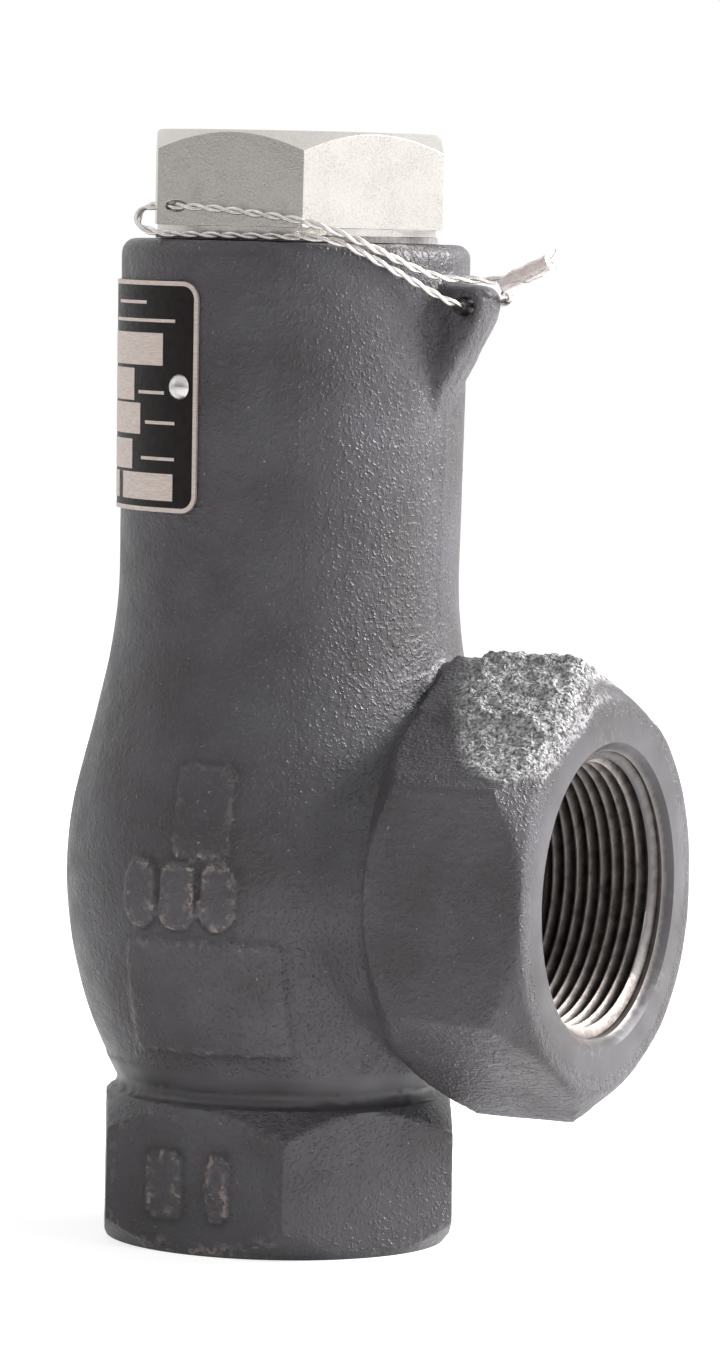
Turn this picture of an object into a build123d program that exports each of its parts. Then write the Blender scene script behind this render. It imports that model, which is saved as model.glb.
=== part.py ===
from build123d import *

import os
from math import acos, asin, atan2, cos, degrees, hypot, pi, radians, sin, sqrt, tan

os.makedirs("parts", exist_ok=True)

# Angle-pattern spring-loaded safety relief valve, in millimetres.
# The origin is the centre of the inlet face, +Z runs up to the cap and +X out of the outlet.

# Inlet hexagon: a corner lies on +X, and both ends are chamfered at 45 degrees
inlet_flats = 58.7
inlet_hex_height = 25.0
inlet_face_inset = 0.35
inlet_thread_radius = 20.99
inlet_thread_depth = 19.5
inlet_countersink = 1.0
inlet_relief_radius = 19.2
inlet_relief_depth = 4.5

# Outlet hexagon: corners lie straight up and down
outlet_height = 62.3
outlet_projection = 24.65
outlet_flats = 67.0
outlet_hex_length = 29.4
outlet_face_inset = 0.5
outlet_neck_radius = 30.5
outlet_neck_fillet = 4.0
outlet_neck_fillet_share = 0.616
outlet_thread_radius = 24.03
outlet_thread_depth = 22.0
outlet_countersink = 1.6
outlet_core_radius = 21.0

# Cast belly and spring housing, as radii and arcs of the outer half section
neck_rise = 2.3
belly_radius = 37.0
belly_rise = 0.7
belly_low_arc = 72.6
belly_high_arc = 64.0
housing_root_radius = 28.86
throat_height = 104.5
throat_reach = 10.7
housing_draft = 0.72
body_height = 169.7
rim_fillet = 2.5

# Inside of the casting
web_thickness = 11.0
chamber_wall = 6.5
chamber_floor_radius = 23.0
chamber_ceiling_radius = 25.0
chamber_low_bulge = 11.0
chamber_high_bulge = 9.0
chamber_arc = 30.0
chamber_fillet = 3.5
partition_rise = 0.7
partition_thickness = 8.0
housing_bore_radius = 21.0
top_thread_radius = 22.5

# Lug for the seal wire, on the outlet side below the rim
lug_thickness = 10.0
lug_projection = 8.1
lug_drop = 6.5
lug_straight = 5.2
lug_length = 18.5
lug_toe_rise = 0.6
lug_toe_length = 8.0
lug_toe_depth = 2.0
lug_nose_fillet = 2.5
lug_knee_fillet = 8.0
lug_foot_fillet = 12.0
lug_toe_fillet = 0.5
lug_edge_fillet = 2.0
lug_hole_radius = 1.75
lug_hole_inset = 3.5
lug_hole_drop = 3.7

# Raised blank marks of the casting, on the front of the belly and of the inlet hexagon
mark_corner = 1.2
tally_rise = 0.3
tally_angle = -84.0
tally_height = 75.3
tally_width = 10.2
tally_length = 15.0
stud_rise = 0.7
stud_angle = -90.0
stud_height = 61.3
stud_width = 6.2
stud_length = 11.4
stud_corner = 2.7
stud_pitch = 7.3
stud_count = 3
panel_rise = 0.45
panel_angle = -84.5
panel_height = 43.7
panel_width = 28.0
panel_length = 19.0
hex_mark_rise = 0.6
hex_mark_widths = (6.2, 3.2)
hex_mark_offsets = (-5.6, 4.6)
hex_mark_length = 11.0
hex_mark_corner = 1.2
hex_mark_height = 11.6
gate_rise = 0.9
gate_height = 30.0
gate_back = 0.3
gate_start = 6.0
gate_length = 18.0

# Nozzle, screwed into the web
nozzle_thread_radius = 13.0
nozzle_bore_radius = 8.75
nozzle_hex_flats = 29.0
nozzle_hex_height = 5.0
nozzle_rise = 11.0
nozzle_lip_width = 1.4
nozzle_spigot_radius = 12.0
nozzle_lip_taper = 3.0
nozzle_entry_flare = 3.0

# Seat disc and its holder
seat_disc_radius = 12.0
seat_disc_thickness = 4.0
seat_disc_proud = 1.0
holder_radius = 15.0
holder_base_height = 11.0
holder_neck_radius = 10.5
holder_shoulder_slope = 4.0
seat_disc_clearance = 0.05
washer_radius = 6.0
washer_thickness = 1.0
disc_screw_radius = 2.0
disc_screw_head_radius = 3.6
disc_screw_head_height = 1.8
disc_screw_length = 12.0
disc_screw_slot_width = 0.9
disc_screw_slot_depth = 0.9

# Stem and what rides on it
lift = 5.0
lift_stop_gap = 0.3
stem_radius = 7.0
stem_chamfer = 2.1
stem_seat_above_holder = 2.0
stem_tail = 14.0
stem_pin_radius = 1.5
stem_pin_rise = 12.0
clip_groove_depth = 0.8
clip_thickness = 1.5
clip_radius = 10.0
clip_gap = 1.5
clip_opening = 9.0

# Guide sleeve in the partition
guide_body_radius = 15.0
guide_flange_radius = 20.8
guide_flange_height = 4.0
guide_clearance = 0.05

# Spring and its plates
spring_wire_radius = 2.1
spring_mean_radius = 15.5
spring_active_coils = 4.0
spring_end_coils = 1.0
spring_end_opening = 1.04
plate_radius = 18.5
plate_thickness = 5.0
plate_pilot_height = 2.5
plate_pilot_clearance = 0.4

# Adjuster in the top of the housing
ball_radius = 4.0
ball_seat_radius = 3.5
ball_gap = 0.1
gland_height = 7.8
gland_hex_flats = 17.0
gland_hex_height = 7.0
gland_thread_clearance = 0.05
gland_gap = 0.5
adjust_travel = 4.5
adjust_runout = 1.4

# Cap and its gasket
cap_flats = 47.8
cap_hex_height = 16.0
cap_face_inset = 0.5
cap_corner_drop = 3.3
cap_collar_inset = 0.3
cap_collar_height = 1.3
cap_plug_depth = 9.0
cap_plug_clearance = 0.05
cap_hollow_radius = 17.0
cap_roof = 6.0
gasket_thickness = 1.0
gasket_proud = 0.3
seal_hole_radius = 1.0
seal_hole_angle = -120.0
seal_hole_inset = 1.8
seal_hole_rise = 3.1

# Rating plate and its drive screws
nameplate_width = 51.0
nameplate_height = 38.5
nameplate_thickness = 0.5
nameplate_gap = 0.05
nameplate_corner = 3.0
nameplate_bottom = 124.1
nameplate_angle = -143.5
nameplate_screw_inset = 3.5
nameplate_screw_rise = 21.0
drive_head_radius = 2.15
drive_head_height = 1.3
drive_shank_radius = 1.0
drive_shank_length = 6.0

# Seal wire and its crimped ferrule
wire_radius = 0.6
wire_bend_share = 0.45
ferrule_length = 9.6
ferrule_width = 2.9
ferrule_thickness = 2.0
ferrule_angle = 24.3
ferrule_lug_gap = 1.2

# How far cutting and joining tools run past the faces they meet, and how closely an edge is matched
tool_margin = 1.0
match_tolerance = 0.05

# Heights, reaches and radii that follow from the sizes above
outlet_reach = belly_radius + outlet_projection
neck_height = inlet_hex_height + neck_rise
belly_height = outlet_height + belly_rise
partition_height = outlet_height + outlet_core_radius + partition_rise
cap_collar_radius = cap_flats / 2 - cap_collar_inset
gasket_radius = cap_collar_radius + gasket_proud
web_bottom = inlet_thread_depth + inlet_relief_depth
web_top = web_bottom + web_thickness
seat_height = web_top + nozzle_rise
holder_bottom = seat_height + seat_disc_proud
holder_shoulder = holder_bottom + holder_base_height
holder_top = partition_height - lift - lift_stop_gap
partition_top = partition_height + partition_thickness
guide_top = partition_top + guide_flange_height
clip_bottom = guide_top + clip_gap
lower_plate_bottom = clip_bottom + clip_thickness
spring_bottom = lower_plate_bottom + plate_thickness
cap_plug_bottom = body_height - cap_plug_depth
gland_top = cap_plug_bottom - gland_gap
gland_bottom = gland_top - gland_height
ball_centre = gland_bottom - ball_gap - (ball_radius * sqrt(2) - ball_seat_radius)
upper_plate_top = ball_centre - (ball_radius * sqrt(2) - ball_seat_radius)
upper_plate_bottom = upper_plate_top - plate_thickness
spring_top = upper_plate_bottom
spring_length = spring_top - spring_bottom
stem_bottom = holder_bottom + seat_disc_thickness + holder_base_height - stem_seat_above_holder
stem_top = spring_bottom + stem_tail
cap_seat = body_height + gasket_thickness
cap_hex_bottom = cap_seat + cap_collar_height
cap_top = cap_hex_bottom + cap_hex_height
lug_top = body_height - lug_drop
lug_hole_z = lug_top - lug_hole_drop


def turned(*corners):
    """A solid turned about Z, from the corners of its half section as radius and height."""
    return revolve(Plane.XZ * make_face(Polyline(*corners, close=True)), Axis.Z)


def tube(inner, outer, bottom, top):
    """A plain ring about Z."""
    return turned((inner, bottom), (outer, bottom), (outer, top), (inner, top))


def rod(radius, bottom, top):
    """A plain cylinder about Z."""
    return Pos(0, 0, bottom) * extrude(Circle(radius), top - bottom)


def corner_radius(flats):
    """The radius of a hexagon's corners, from its width across the flats."""
    return flats / sqrt(3)


def hexagon(flats, height):
    """A hexagon bar that stands on the XY plane, with a corner on +X."""
    return extrude(RegularPolygon(flats / 2, 6, major_radius=False), height)


def chamfered_hexagon(flats, height, face_inset):
    """A hexagon bar with both ends turned down at 45 degrees to a round face inside the flats."""
    face_radius = flats / 2 - face_inset
    corner = corner_radius(flats)
    drop = corner - face_radius
    lathe = turned(
        (0, 0), (face_radius, 0), (corner, drop), (corner, height - drop), (face_radius, height), (0, height)
    )
    return hexagon(flats, height) & lathe


def shoulder_slope():
    """The slope in degrees of the shoulder, which touches the belly's high arc and meets the throat."""
    across = housing_root_radius - belly_radius + belly_high_arc
    above = throat_height - belly_height
    return degrees(atan2(above, across) - acos(belly_high_arc / hypot(across, above)))


def housing_radius(height):
    """The outer radius of the drafted spring housing at a height."""
    return housing_root_radius + (height - throat_height) * tan(radians(housing_draft))


def skin(rise=0.0):
    """The turned outer form of the casting, moved outwards by a rise."""
    low_turn = asin((belly_height - neck_height) / belly_low_arc)
    slope = shoulder_slope()
    low_arc = JernArc(
        start=(belly_radius + rise, belly_height),
        tangent=(0, -1),
        radius=belly_low_arc,
        arc_size=-degrees(low_turn),
    )
    high_arc = JernArc(
        start=(belly_radius + rise, belly_height),
        tangent=(0, 1),
        radius=belly_high_arc + rise,
        arc_size=slope,
    )
    throat_start = (
        housing_root_radius + rise + throat_reach * sin(radians(slope)),
        throat_height - throat_reach * cos(radians(slope)),
    )
    throat = JernArc(
        start=throat_start,
        tangent=(-sin(radians(slope)), cos(radians(slope))),
        radius=throat_reach / tan(radians(slope + housing_draft) / 2),
        arc_size=-(slope + housing_draft),
    )
    top = (housing_radius(body_height) + rise, body_height)
    neck = low_arc @ 1
    foot_height = inlet_hex_height / 2
    outline = [
        low_arc,
        high_arc,
        Line(high_arc @ 1, throat_start),
        throat,
        Line(throat @ 1, top),
        Line(top, (0, body_height)),
        Line((0, body_height), (0, foot_height)),
        Line((0, foot_height), (neck.X, foot_height)),
        Line((neck.X, foot_height), neck),
    ]
    return revolve(Plane.XZ * make_face(outline), Axis.Z)


def lug_reach():
    """How far from the axis the lug reaches."""
    return housing_radius(lug_top) + lug_projection


def lug():
    """The fin that holds the seal wire: an outline with rounded corners and edges."""
    inner = top_thread_radius + lug_edge_fillet + tool_margin
    foot_height = lug_top - lug_length
    foot_x = housing_radius(foot_height) + lug_toe_rise
    toe_height = foot_height - lug_toe_length
    outline = FilletPolyline(
        (inner, lug_top),
        (lug_reach(), lug_top),
        (lug_reach(), lug_top - lug_straight),
        (foot_x, foot_height),
        (foot_x - lug_toe_depth, toe_height),
        (inner, toe_height),
        radius=(lug_nose_fillet, lug_knee_fillet, lug_foot_fillet, lug_toe_fillet),
        close=False,
    )
    face = make_face([*outline.edges(), Line(outline @ 1, outline @ 0)])
    fin = extrude(Plane.XZ * face, lug_thickness / 2, both=True)
    side_edges = fin.faces().filter_by(Axis.Y).edges()
    return fillet(side_edges.filter_by(lambda e: e.center().X > inner + tool_margin), lug_edge_fillet)


def rounded_block(width, length, depth, corner):
    """A rounded rectangle in the XZ plane, extruded along -Y."""
    return extrude(Plane.XZ * RectangleRounded(width, length, corner), depth)


def mark(rise, angle, height, outline):
    """A raised mark: the part of a block, set at an angle and height, inside the raised skin."""
    return Rot(0, 0, angle + 90) * Pos(0, 0, height) * outline & skin(rise)


def tally():
    """A low blank upright pad on the front of the belly."""
    block = rounded_block(tally_width, tally_length, 2 * belly_radius, mark_corner)
    return mark(tally_rise, tally_angle, tally_height, block)


def studs():
    """A row of blank oval studs below the pad, each with a flat face."""
    angle_pitch = degrees(stud_pitch / belly_radius)
    marks = []
    for index in range(stud_count):
        angle = stud_angle + (index - (stud_count - 1) / 2) * angle_pitch
        block = rounded_block(stud_width, stud_length, chamber_wall / 2, stud_corner)
        place = Rot(0, 0, angle + 90) * Pos(0, chamber_wall / 2 - belly_radius - stud_rise, stud_height)
        marks.append(place * block)
    return marks


def panel():
    """A low blank panel below the studs."""
    block = rounded_block(panel_width, panel_length, 2 * belly_radius, mark_corner)
    return mark(panel_rise, panel_angle, panel_height, block)


def hex_marks():
    """A wide and a narrow blank bar on the front flat of the inlet hexagon."""
    bars = []
    for width, offset in zip(hex_mark_widths, hex_mark_offsets):
        bar = rounded_block(width, hex_mark_length, hex_mark_rise + tool_margin, hex_mark_corner)
        bars.append(Pos(offset, tool_margin - inlet_flats / 2, hex_mark_height) * bar)
    return bars


def gate():
    """The unchamfered top corner of the outlet hexagon, with the raised stub of the broken gate."""
    back = outlet_reach - outlet_hex_length
    corner = corner_radius(outlet_flats)
    flush = along_outlet(hexagon(outlet_flats, gate_start + gate_back), back - gate_back)
    stub = along_outlet(hexagon(outlet_flats + 2 * gate_rise, gate_length), back + gate_start)
    above = Pos(0, 0, outlet_height + gate_height) * Box(
        2 * outlet_reach, 2 * corner, corner, align=(Align.CENTER, Align.CENTER, Align.MIN)
    )
    return (flush + stub) & above


def along_outlet(solid, start):
    """Lay a solid that stands on XY along the outlet's axis, its foot at a given X."""
    return Plane(origin=(start, 0, outlet_height), x_dir=(0, 0, 1), z_dir=(1, 0, 0)) * solid


def on_neck(edge):
    """Whether an edge is the line where the outlet neck runs into the belly."""
    neck_end = outlet_reach - outlet_hex_length
    points = [edge @ share for share in (0.1, 0.5, 0.9)]
    offsets = [sqrt(p.Y**2 + (p.Z - outlet_height) ** 2) - outlet_neck_radius for p in points]
    return all(abs(o) < match_tolerance and 0 < p.X < neck_end for o, p in zip(offsets, points))


def casting_outside():
    """The whole outer form of the casting."""
    neck_length = outlet_reach - outlet_hex_length + tool_margin
    form = skin() + along_outlet(extrude(Circle(outlet_neck_radius), neck_length), 0)
    neck_step = belly_radius - outlet_neck_radius
    neck_fillet = min(outlet_neck_fillet, outlet_neck_fillet_share * neck_step)
    form = fillet(form.edges().filter_by(on_neck), neck_fillet)
    rim = form.edges().filter_by(GeomType.CIRCLE).sort_by(Axis.Z)[-1]
    form = fillet(rim, rim_fillet)
    form += lug()
    outlet_hex = chamfered_hexagon(outlet_flats, outlet_hex_length, outlet_face_inset)
    form += along_outlet(outlet_hex, outlet_reach - outlet_hex_length)
    form += gate()
    form += chamfered_hexagon(inlet_flats, inlet_hex_height, inlet_face_inset)
    return form + [tally(), panel(), *studs(), *hex_marks()]


def casting_inside():
    """Everything that is bored, cored or tapped out of the casting."""
    mouth = inlet_thread_radius + inlet_countersink
    inlet = turned(
        (0, -tool_margin),
        (mouth + tool_margin, -tool_margin),
        (inlet_thread_radius, inlet_countersink),
        (inlet_thread_radius, inlet_thread_depth),
        (inlet_relief_radius, inlet_thread_depth),
        (inlet_relief_radius, web_bottom),
        (0, web_bottom),
    )
    wide = belly_radius - chamber_wall
    outline = FilletPolyline(
        (0, web_top),
        (chamber_floor_radius, web_top),
        (wide, belly_height - chamber_low_bulge),
        (wide, belly_height + chamber_high_bulge),
        (chamber_ceiling_radius, partition_height),
        (0, partition_height),
        radius=(chamber_fillet, chamber_arc, chamber_arc, chamber_fillet),
    )
    chamber = revolve(Plane.XZ * make_face([*outline.edges(), Line(outline @ 1, outline @ 0)]), Axis.Z)
    thread_end = outlet_reach - outlet_thread_depth
    outlet_mouth = outlet_thread_radius + outlet_countersink
    outlet = turned(
        (0, outlet_core_radius - thread_end),
        (outlet_core_radius, outlet_core_radius - thread_end),
        (outlet_core_radius, 0),
        (outlet_thread_radius, 0),
        (outlet_thread_radius, outlet_thread_depth - outlet_countersink),
        (outlet_mouth + tool_margin, outlet_thread_depth + tool_margin),
        (0, outlet_thread_depth + tool_margin),
    )
    adjuster_end = gland_bottom - adjust_travel - adjust_runout
    hollow = inlet + chamber + along_outlet(outlet, thread_end)
    hollow += rod(nozzle_thread_radius, web_bottom - tool_margin, web_top + tool_margin)
    hollow += rod(guide_body_radius, partition_height - tool_margin, partition_top + tool_margin)
    hollow += rod(housing_bore_radius, partition_top, adjuster_end + tool_margin)
    hollow += rod(top_thread_radius, adjuster_end, body_height + tool_margin)
    lug_hole = Pos(lug_reach() - lug_hole_inset, 0, lug_hole_z) * Rot(90, 0, 0)
    hollow += lug_hole * Cylinder(lug_hole_radius, 2 * lug_thickness)
    for place in drive_screw_places():
        depth = nameplate_gap + nameplate_thickness + drive_shank_length
        hollow += place * Cylinder(drive_shank_radius, 2 * depth)
    return hollow


def plate_surface(height):
    """The radius of the rating plate's outer face at a height."""
    return housing_radius(height) + nameplate_gap + nameplate_thickness


def drive_screw_places():
    """The two places on the rating plate's face where its drive screws sit, with Z pointing out of it."""
    height = nameplate_bottom + nameplate_screw_rise
    radius = plate_surface(height)
    swing = degrees((nameplate_width / 2 - nameplate_screw_inset) / radius)
    places = []
    for side in (-1, 1):
        angle = nameplate_angle + side * swing
        places.append(Rot(0, 0, angle) * Pos(radius, 0, height) * Rot(0, 90 + housing_draft, 0))
    return places


def nameplate():
    """The blank rating plate, bent round the drafted housing."""
    top = nameplate_bottom + nameplate_height
    inner_low = housing_radius(nameplate_bottom) + nameplate_gap
    inner_high = housing_radius(top) + nameplate_gap
    section = make_face(
        Polyline(
            (inner_low, nameplate_bottom),
            (plate_surface(nameplate_bottom), nameplate_bottom),
            (plate_surface(top), top),
            (inner_high, top),
            close=True,
        )
    )
    arc = degrees(nameplate_width / plate_surface(nameplate_bottom))
    sheet = revolve(Plane.XZ * section, Axis.Z, revolution_arc=arc)
    corners = sheet.edges().filter_by(GeomType.LINE).filter_by(lambda e: e.length < 2 * nameplate_thickness)
    sheet = fillet(corners, nameplate_corner)
    sheet = Rot(0, 0, nameplate_angle - arc / 2) * sheet
    for place in drive_screw_places():
        sheet -= place * Cylinder(drive_shank_radius, 4 * nameplate_thickness)
    return sheet


def drive_screws():
    """Two round-head drive screws."""
    outline = [
        TangentArc((0, drive_head_height), (drive_head_radius, 0), tangent=(1, 0)),
        Line((drive_head_radius, 0), (drive_shank_radius, 0)),
        Line((drive_shank_radius, 0), (drive_shank_radius, -drive_shank_length)),
        Line((drive_shank_radius, -drive_shank_length), (0, -drive_shank_length)),
        Line((0, -drive_shank_length), (0, drive_head_height)),
    ]
    screw = revolve(Plane.XZ * make_face(outline), Axis.Z)
    return Compound(children=[place * screw for place in drive_screw_places()])


def nozzle():
    """The seat bushing: thread, hexagon and a tapered spigot that ends in the seat lip."""
    lip = nozzle_bore_radius + nozzle_lip_width
    hex_top = web_top + nozzle_hex_height
    outside = rod(nozzle_thread_radius, web_bottom, web_top)
    outside += Pos(0, 0, web_top) * hexagon(nozzle_hex_flats, nozzle_hex_height)
    outside += turned(
        (0, hex_top),
        (nozzle_spigot_radius, hex_top),
        (nozzle_spigot_radius, seat_height - nozzle_lip_taper),
        (lip, seat_height),
        (0, seat_height),
    )
    flow = turned(
        (0, web_bottom),
        (nozzle_bore_radius + nozzle_entry_flare, web_bottom),
        (nozzle_bore_radius, web_bottom + nozzle_entry_flare),
        (nozzle_bore_radius, seat_height),
        (0, seat_height),
    )
    return outside - flow


def seat_disc():
    """The soft disc that closes on the nozzle's lip."""
    return tube(disc_screw_radius, seat_disc_radius, seat_height, seat_height + seat_disc_thickness)


def disc_holder():
    """The holder: a recess for the disc below, a bore for the stem above."""
    neck_start = holder_shoulder + holder_shoulder_slope
    outside = turned(
        (0, holder_bottom),
        (holder_radius, holder_bottom),
        (holder_radius, holder_shoulder),
        (holder_neck_radius, neck_start),
        (holder_neck_radius, holder_top),
        (0, holder_top),
    )
    recess_top = seat_height + seat_disc_thickness
    screw_end = seat_height - washer_thickness + disc_screw_length
    outside -= rod(seat_disc_radius + seat_disc_clearance, holder_bottom, recess_top)
    outside -= rod(disc_screw_radius, recess_top, screw_end)
    outside -= rod(stem_radius, stem_bottom, holder_top)
    return outside - stem_pin()


def disc_washer():
    """The washer that clamps the seat disc."""
    return tube(disc_screw_radius, washer_radius, seat_height - washer_thickness, seat_height)


def disc_screw():
    """The slotted screw through washer and disc into the holder."""
    head_top = seat_height - washer_thickness
    head_bottom = head_top - disc_screw_head_height
    screw = rod(disc_screw_head_radius, head_bottom, head_top)
    screw += rod(disc_screw_radius, head_top, head_top + disc_screw_length)
    slot = Box(2 * disc_screw_head_radius, disc_screw_slot_width, 2 * disc_screw_slot_depth)
    return screw - Pos(0, 0, head_bottom) * slot


def stem_pin():
    """The cross pin that ties the stem into its holder."""
    place = Pos(0, 0, holder_shoulder + stem_pin_rise) * Rot(90, 0, 0)
    return place * Cylinder(stem_pin_radius, 2 * holder_neck_radius)


def stem():
    """The stem: a chamfered nose, the cross hole, the clip's groove and a chamfered tail."""
    groove = stem_radius - clip_groove_depth
    shaft = turned(
        (0, stem_bottom),
        (stem_radius - stem_chamfer, stem_bottom),
        (stem_radius, stem_bottom + stem_chamfer),
        (stem_radius, clip_bottom),
        (groove, clip_bottom),
        (groove, lower_plate_bottom),
        (stem_radius, lower_plate_bottom),
        (stem_radius, stem_top - stem_chamfer),
        (stem_radius - stem_chamfer, stem_top),
        (0, stem_top),
    )
    return shaft - stem_pin()


def stem_clip():
    """The open retaining ring in the stem's groove, under the lower spring plate."""
    ring = tube(stem_radius - clip_groove_depth, clip_radius, clip_bottom, lower_plate_bottom)
    middle = (clip_bottom + lower_plate_bottom) / 2
    return ring - Pos(-clip_radius, 0, middle) * Box(2 * clip_radius, clip_opening, 2 * clip_thickness)


def guide_sleeve():
    """The flanged sleeve that sits in the partition and guides the stem."""
    bore = stem_radius + guide_clearance
    return tube(bore, guide_body_radius, partition_height, partition_top) + tube(
        bore, guide_flange_radius, partition_top, guide_top
    )


def lower_spring_plate():
    """The plate that takes the spring's load to the clip and the stem."""
    pilot = spring_mean_radius - spring_wire_radius - plate_pilot_clearance
    return tube(stem_radius, plate_radius, lower_plate_bottom, spring_bottom) + tube(
        stem_radius, pilot, spring_bottom, spring_bottom + plate_pilot_height
    )


def upper_spring_plate():
    """The plate that takes the adjuster's load to the spring, with a cone for the ball."""
    pilot = spring_mean_radius - spring_wire_radius - plate_pilot_clearance
    return turned(
        (0, spring_top - plate_pilot_height),
        (pilot, spring_top - plate_pilot_height),
        (pilot, spring_top),
        (plate_radius, spring_top),
        (plate_radius, upper_plate_top),
        (ball_seat_radius, upper_plate_top),
        (0, upper_plate_top - ball_seat_radius),
    )


def thrust_ball():
    """The ball between the upper plate and the adjuster."""
    return Pos(0, 0, ball_centre) * Sphere(ball_radius)


def adjusting_gland():
    """The screwed adjuster: a plug with a hexagon on top and a cone below for the ball."""
    outer = top_thread_radius - gland_thread_clearance
    plug = turned(
        (0, gland_bottom + ball_seat_radius),
        (ball_seat_radius, gland_bottom),
        (outer, gland_bottom),
        (outer, gland_top),
        (0, gland_top),
    )
    return plug + Pos(0, 0, gland_top) * hexagon(gland_hex_flats, gland_hex_height)


def spring():
    """The set-pressure spring: closed end coils, ground flat, and evenly pitched active coils."""
    end_pitch = 2 * spring_wire_radius * spring_end_opening
    end_height = spring_end_coils * end_pitch
    active_height = spring_length - 2 * end_height
    stages = (
        (end_pitch, end_height, 0, 0),
        (active_height / spring_active_coils, active_height, end_height, spring_end_coils),
        (end_pitch, end_height, end_height + active_height, spring_end_coils + spring_active_coils),
    )
    runs = []
    for pitch, height, start, turns in stages:
        run = Helix(pitch=pitch, height=height, radius=spring_mean_radius)
        place = Pos(0, 0, spring_bottom + start) * Rot(0, 0, 360 * turns)
        runs += (place * run).edges()
    path = Wire(runs)
    section = Plane(origin=path @ 0, z_dir=path % 0) * Circle(spring_wire_radius)
    coil = sweep(section, path=path, is_frenet=True)
    return coil & rod(spring_mean_radius + 2 * spring_wire_radius, spring_bottom, spring_top)


def cap():
    """The sealed cap: a hexagon with a turned top, a collar, a hollow plug and the wire's hole."""
    corner = corner_radius(cap_flats)
    head = hexagon(cap_flats, cap_hex_height) & turned(
        (0, 0),
        (corner, 0),
        (corner, cap_hex_height - cap_corner_drop),
        (cap_flats / 2 - cap_face_inset, cap_hex_height),
        (0, cap_hex_height),
    )
    whole = Pos(0, 0, cap_hex_bottom) * head
    whole += rod(cap_collar_radius, cap_seat, cap_hex_bottom)
    whole += rod(top_thread_radius - cap_plug_clearance, cap_plug_bottom, cap_seat)
    whole -= rod(cap_hollow_radius, cap_plug_bottom, cap_top - cap_roof)
    hole = Pos(corner - seal_hole_inset, 0, cap_hex_bottom + seal_hole_rise) * Rot(90, 0, 0)
    return whole - Rot(0, 0, seal_hole_angle) * hole * Cylinder(seal_hole_radius, cap_flats)


def cap_gasket():
    """The flat ring between the cap's collar and the housing."""
    return tube(top_thread_radius, gasket_radius, body_height, cap_seat)


def seal_ferrule(wire):
    """The crimped sleeve on the wire's two ends, beside the lug."""
    place = Pos(lug_reach() + ferrule_lug_gap, 0, lug_top) * Rot(0, 90 - ferrule_angle, 0)
    return place * extrude(SlotOverall(ferrule_width, ferrule_thickness), ferrule_length) - wire


# The seal wire's route, from one end in the ferrule over the lug, along the cap's flat, through its
# corner hole, back under the hexagon, through the lug and round into the ferrule
wire_route = (
    (46.4, 0.0, 167.3),
    (42.0, 0.0, 165.35),
    (37.8, -0.2, 163.75),
    (34.6, -3.0, 164.0),
    (31.7, -7.0, 163.95),
    (28.6, -11.9, 165.6),
    (24.5, -18.3, 168.8),
    (20.6, -21.6, 171.0),
    (17.3, -23.9, 172.3),
    (13.6, -25.2, 173.3),
    (4.2, -24.65, 174.3),
    (-4.0, -24.65, 175.0),
    (-9.0, -24.6, 175.1),
    (-13.0, -22.3, 175.1),
    (-17.1, -19.9, 175.1),
    (-19.4, -21.3, 174.3),
    (-18.6, -23.6, 172.6),
    (-15.9, -25.0, 171.2),
    (-12.5, -25.2, 170.5),
    (-6.5, -24.7, 170.42),
    (1.0, -24.75, 170.42),
    (7.5, -24.65, 170.42),
    (13.0, -24.5, 170.42),
    (17.0, -23.1, 170.3),
    (20.5, -21.5, 169.5),
    (24.0, -18.8, 167.3),
    (27.5, -14.1, 164.5),
    (30.4, -9.6, 161.9),
    (32.9, -6.6, 160.0),
    (34.2, -2.5, 159.5),
    (34.2, 3.2, 159.5),
    (34.9, 6.4, 159.8),
    (37.2, 6.6, 160.4),
    (38.7, 3.9, 161.2),
    (38.75, 0.1, 162.4),
    (42.0, 0.0, 163.85),
    (46.9, 0.0, 166.1),
)


def seal_wire():
    """The twisted wire as one plain tube of straight runs joined by tangent arcs."""
    corners = [Vector(*point) for point in wire_route]
    radii = []
    for before, here, after in zip(corners, corners[1:], corners[2:]):
        run_in = here - before
        run_out = after - here
        half_turn = radians(run_in.get_angle(run_out)) / 2
        radii.append(wire_bend_share * min(run_in.length, run_out.length) / tan(half_turn))
    path = FilletPolyline(*corners, radius=radii)
    print("seal wire bends, mm:", [round(radius, 1) for radius in radii], "length", round(path.length, 1))
    section = Plane(origin=path @ 0, z_dir=path % 0) * Circle(wire_radius)
    wire = sweep(section, path=path)
    plain_volume = pi * wire_radius**2 * path.length
    print("seal wire volume over section times length:", round(wire.volume / plain_volume, 4))
    return wire


wire = seal_wire()
nodes = {
    "body": casting_outside() - casting_inside(),
    "nozzle": nozzle(),
    "seat_disc": seat_disc(),
    "disc_holder": disc_holder(),
    "disc_washer": disc_washer(),
    "disc_screw": disc_screw(),
    "stem": stem(),
    "stem_pin": stem_pin(),
    "stem_clip": stem_clip(),
    "guide_sleeve": guide_sleeve(),
    "lower_spring_plate": lower_spring_plate(),
    "spring": spring(),
    "upper_spring_plate": upper_spring_plate(),
    "thrust_ball": thrust_ball(),
    "adjusting_gland": adjusting_gland(),
    "cap": cap(),
    "cap_gasket": cap_gasket(),
    "nameplate": nameplate(),
    "nameplate_screws": drive_screws(),
    "seal_wire": wire,
    "seal_ferrule": seal_ferrule(wire),
}
for name, solid in nodes.items():
    export_step(solid, f"parts/{name}.step")
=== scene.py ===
from math import ceil, cos, exp, pi, radians, sin, sqrt, tan

import bmesh
import bpy
from mathutils import Matrix, Vector, kdtree


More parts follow.
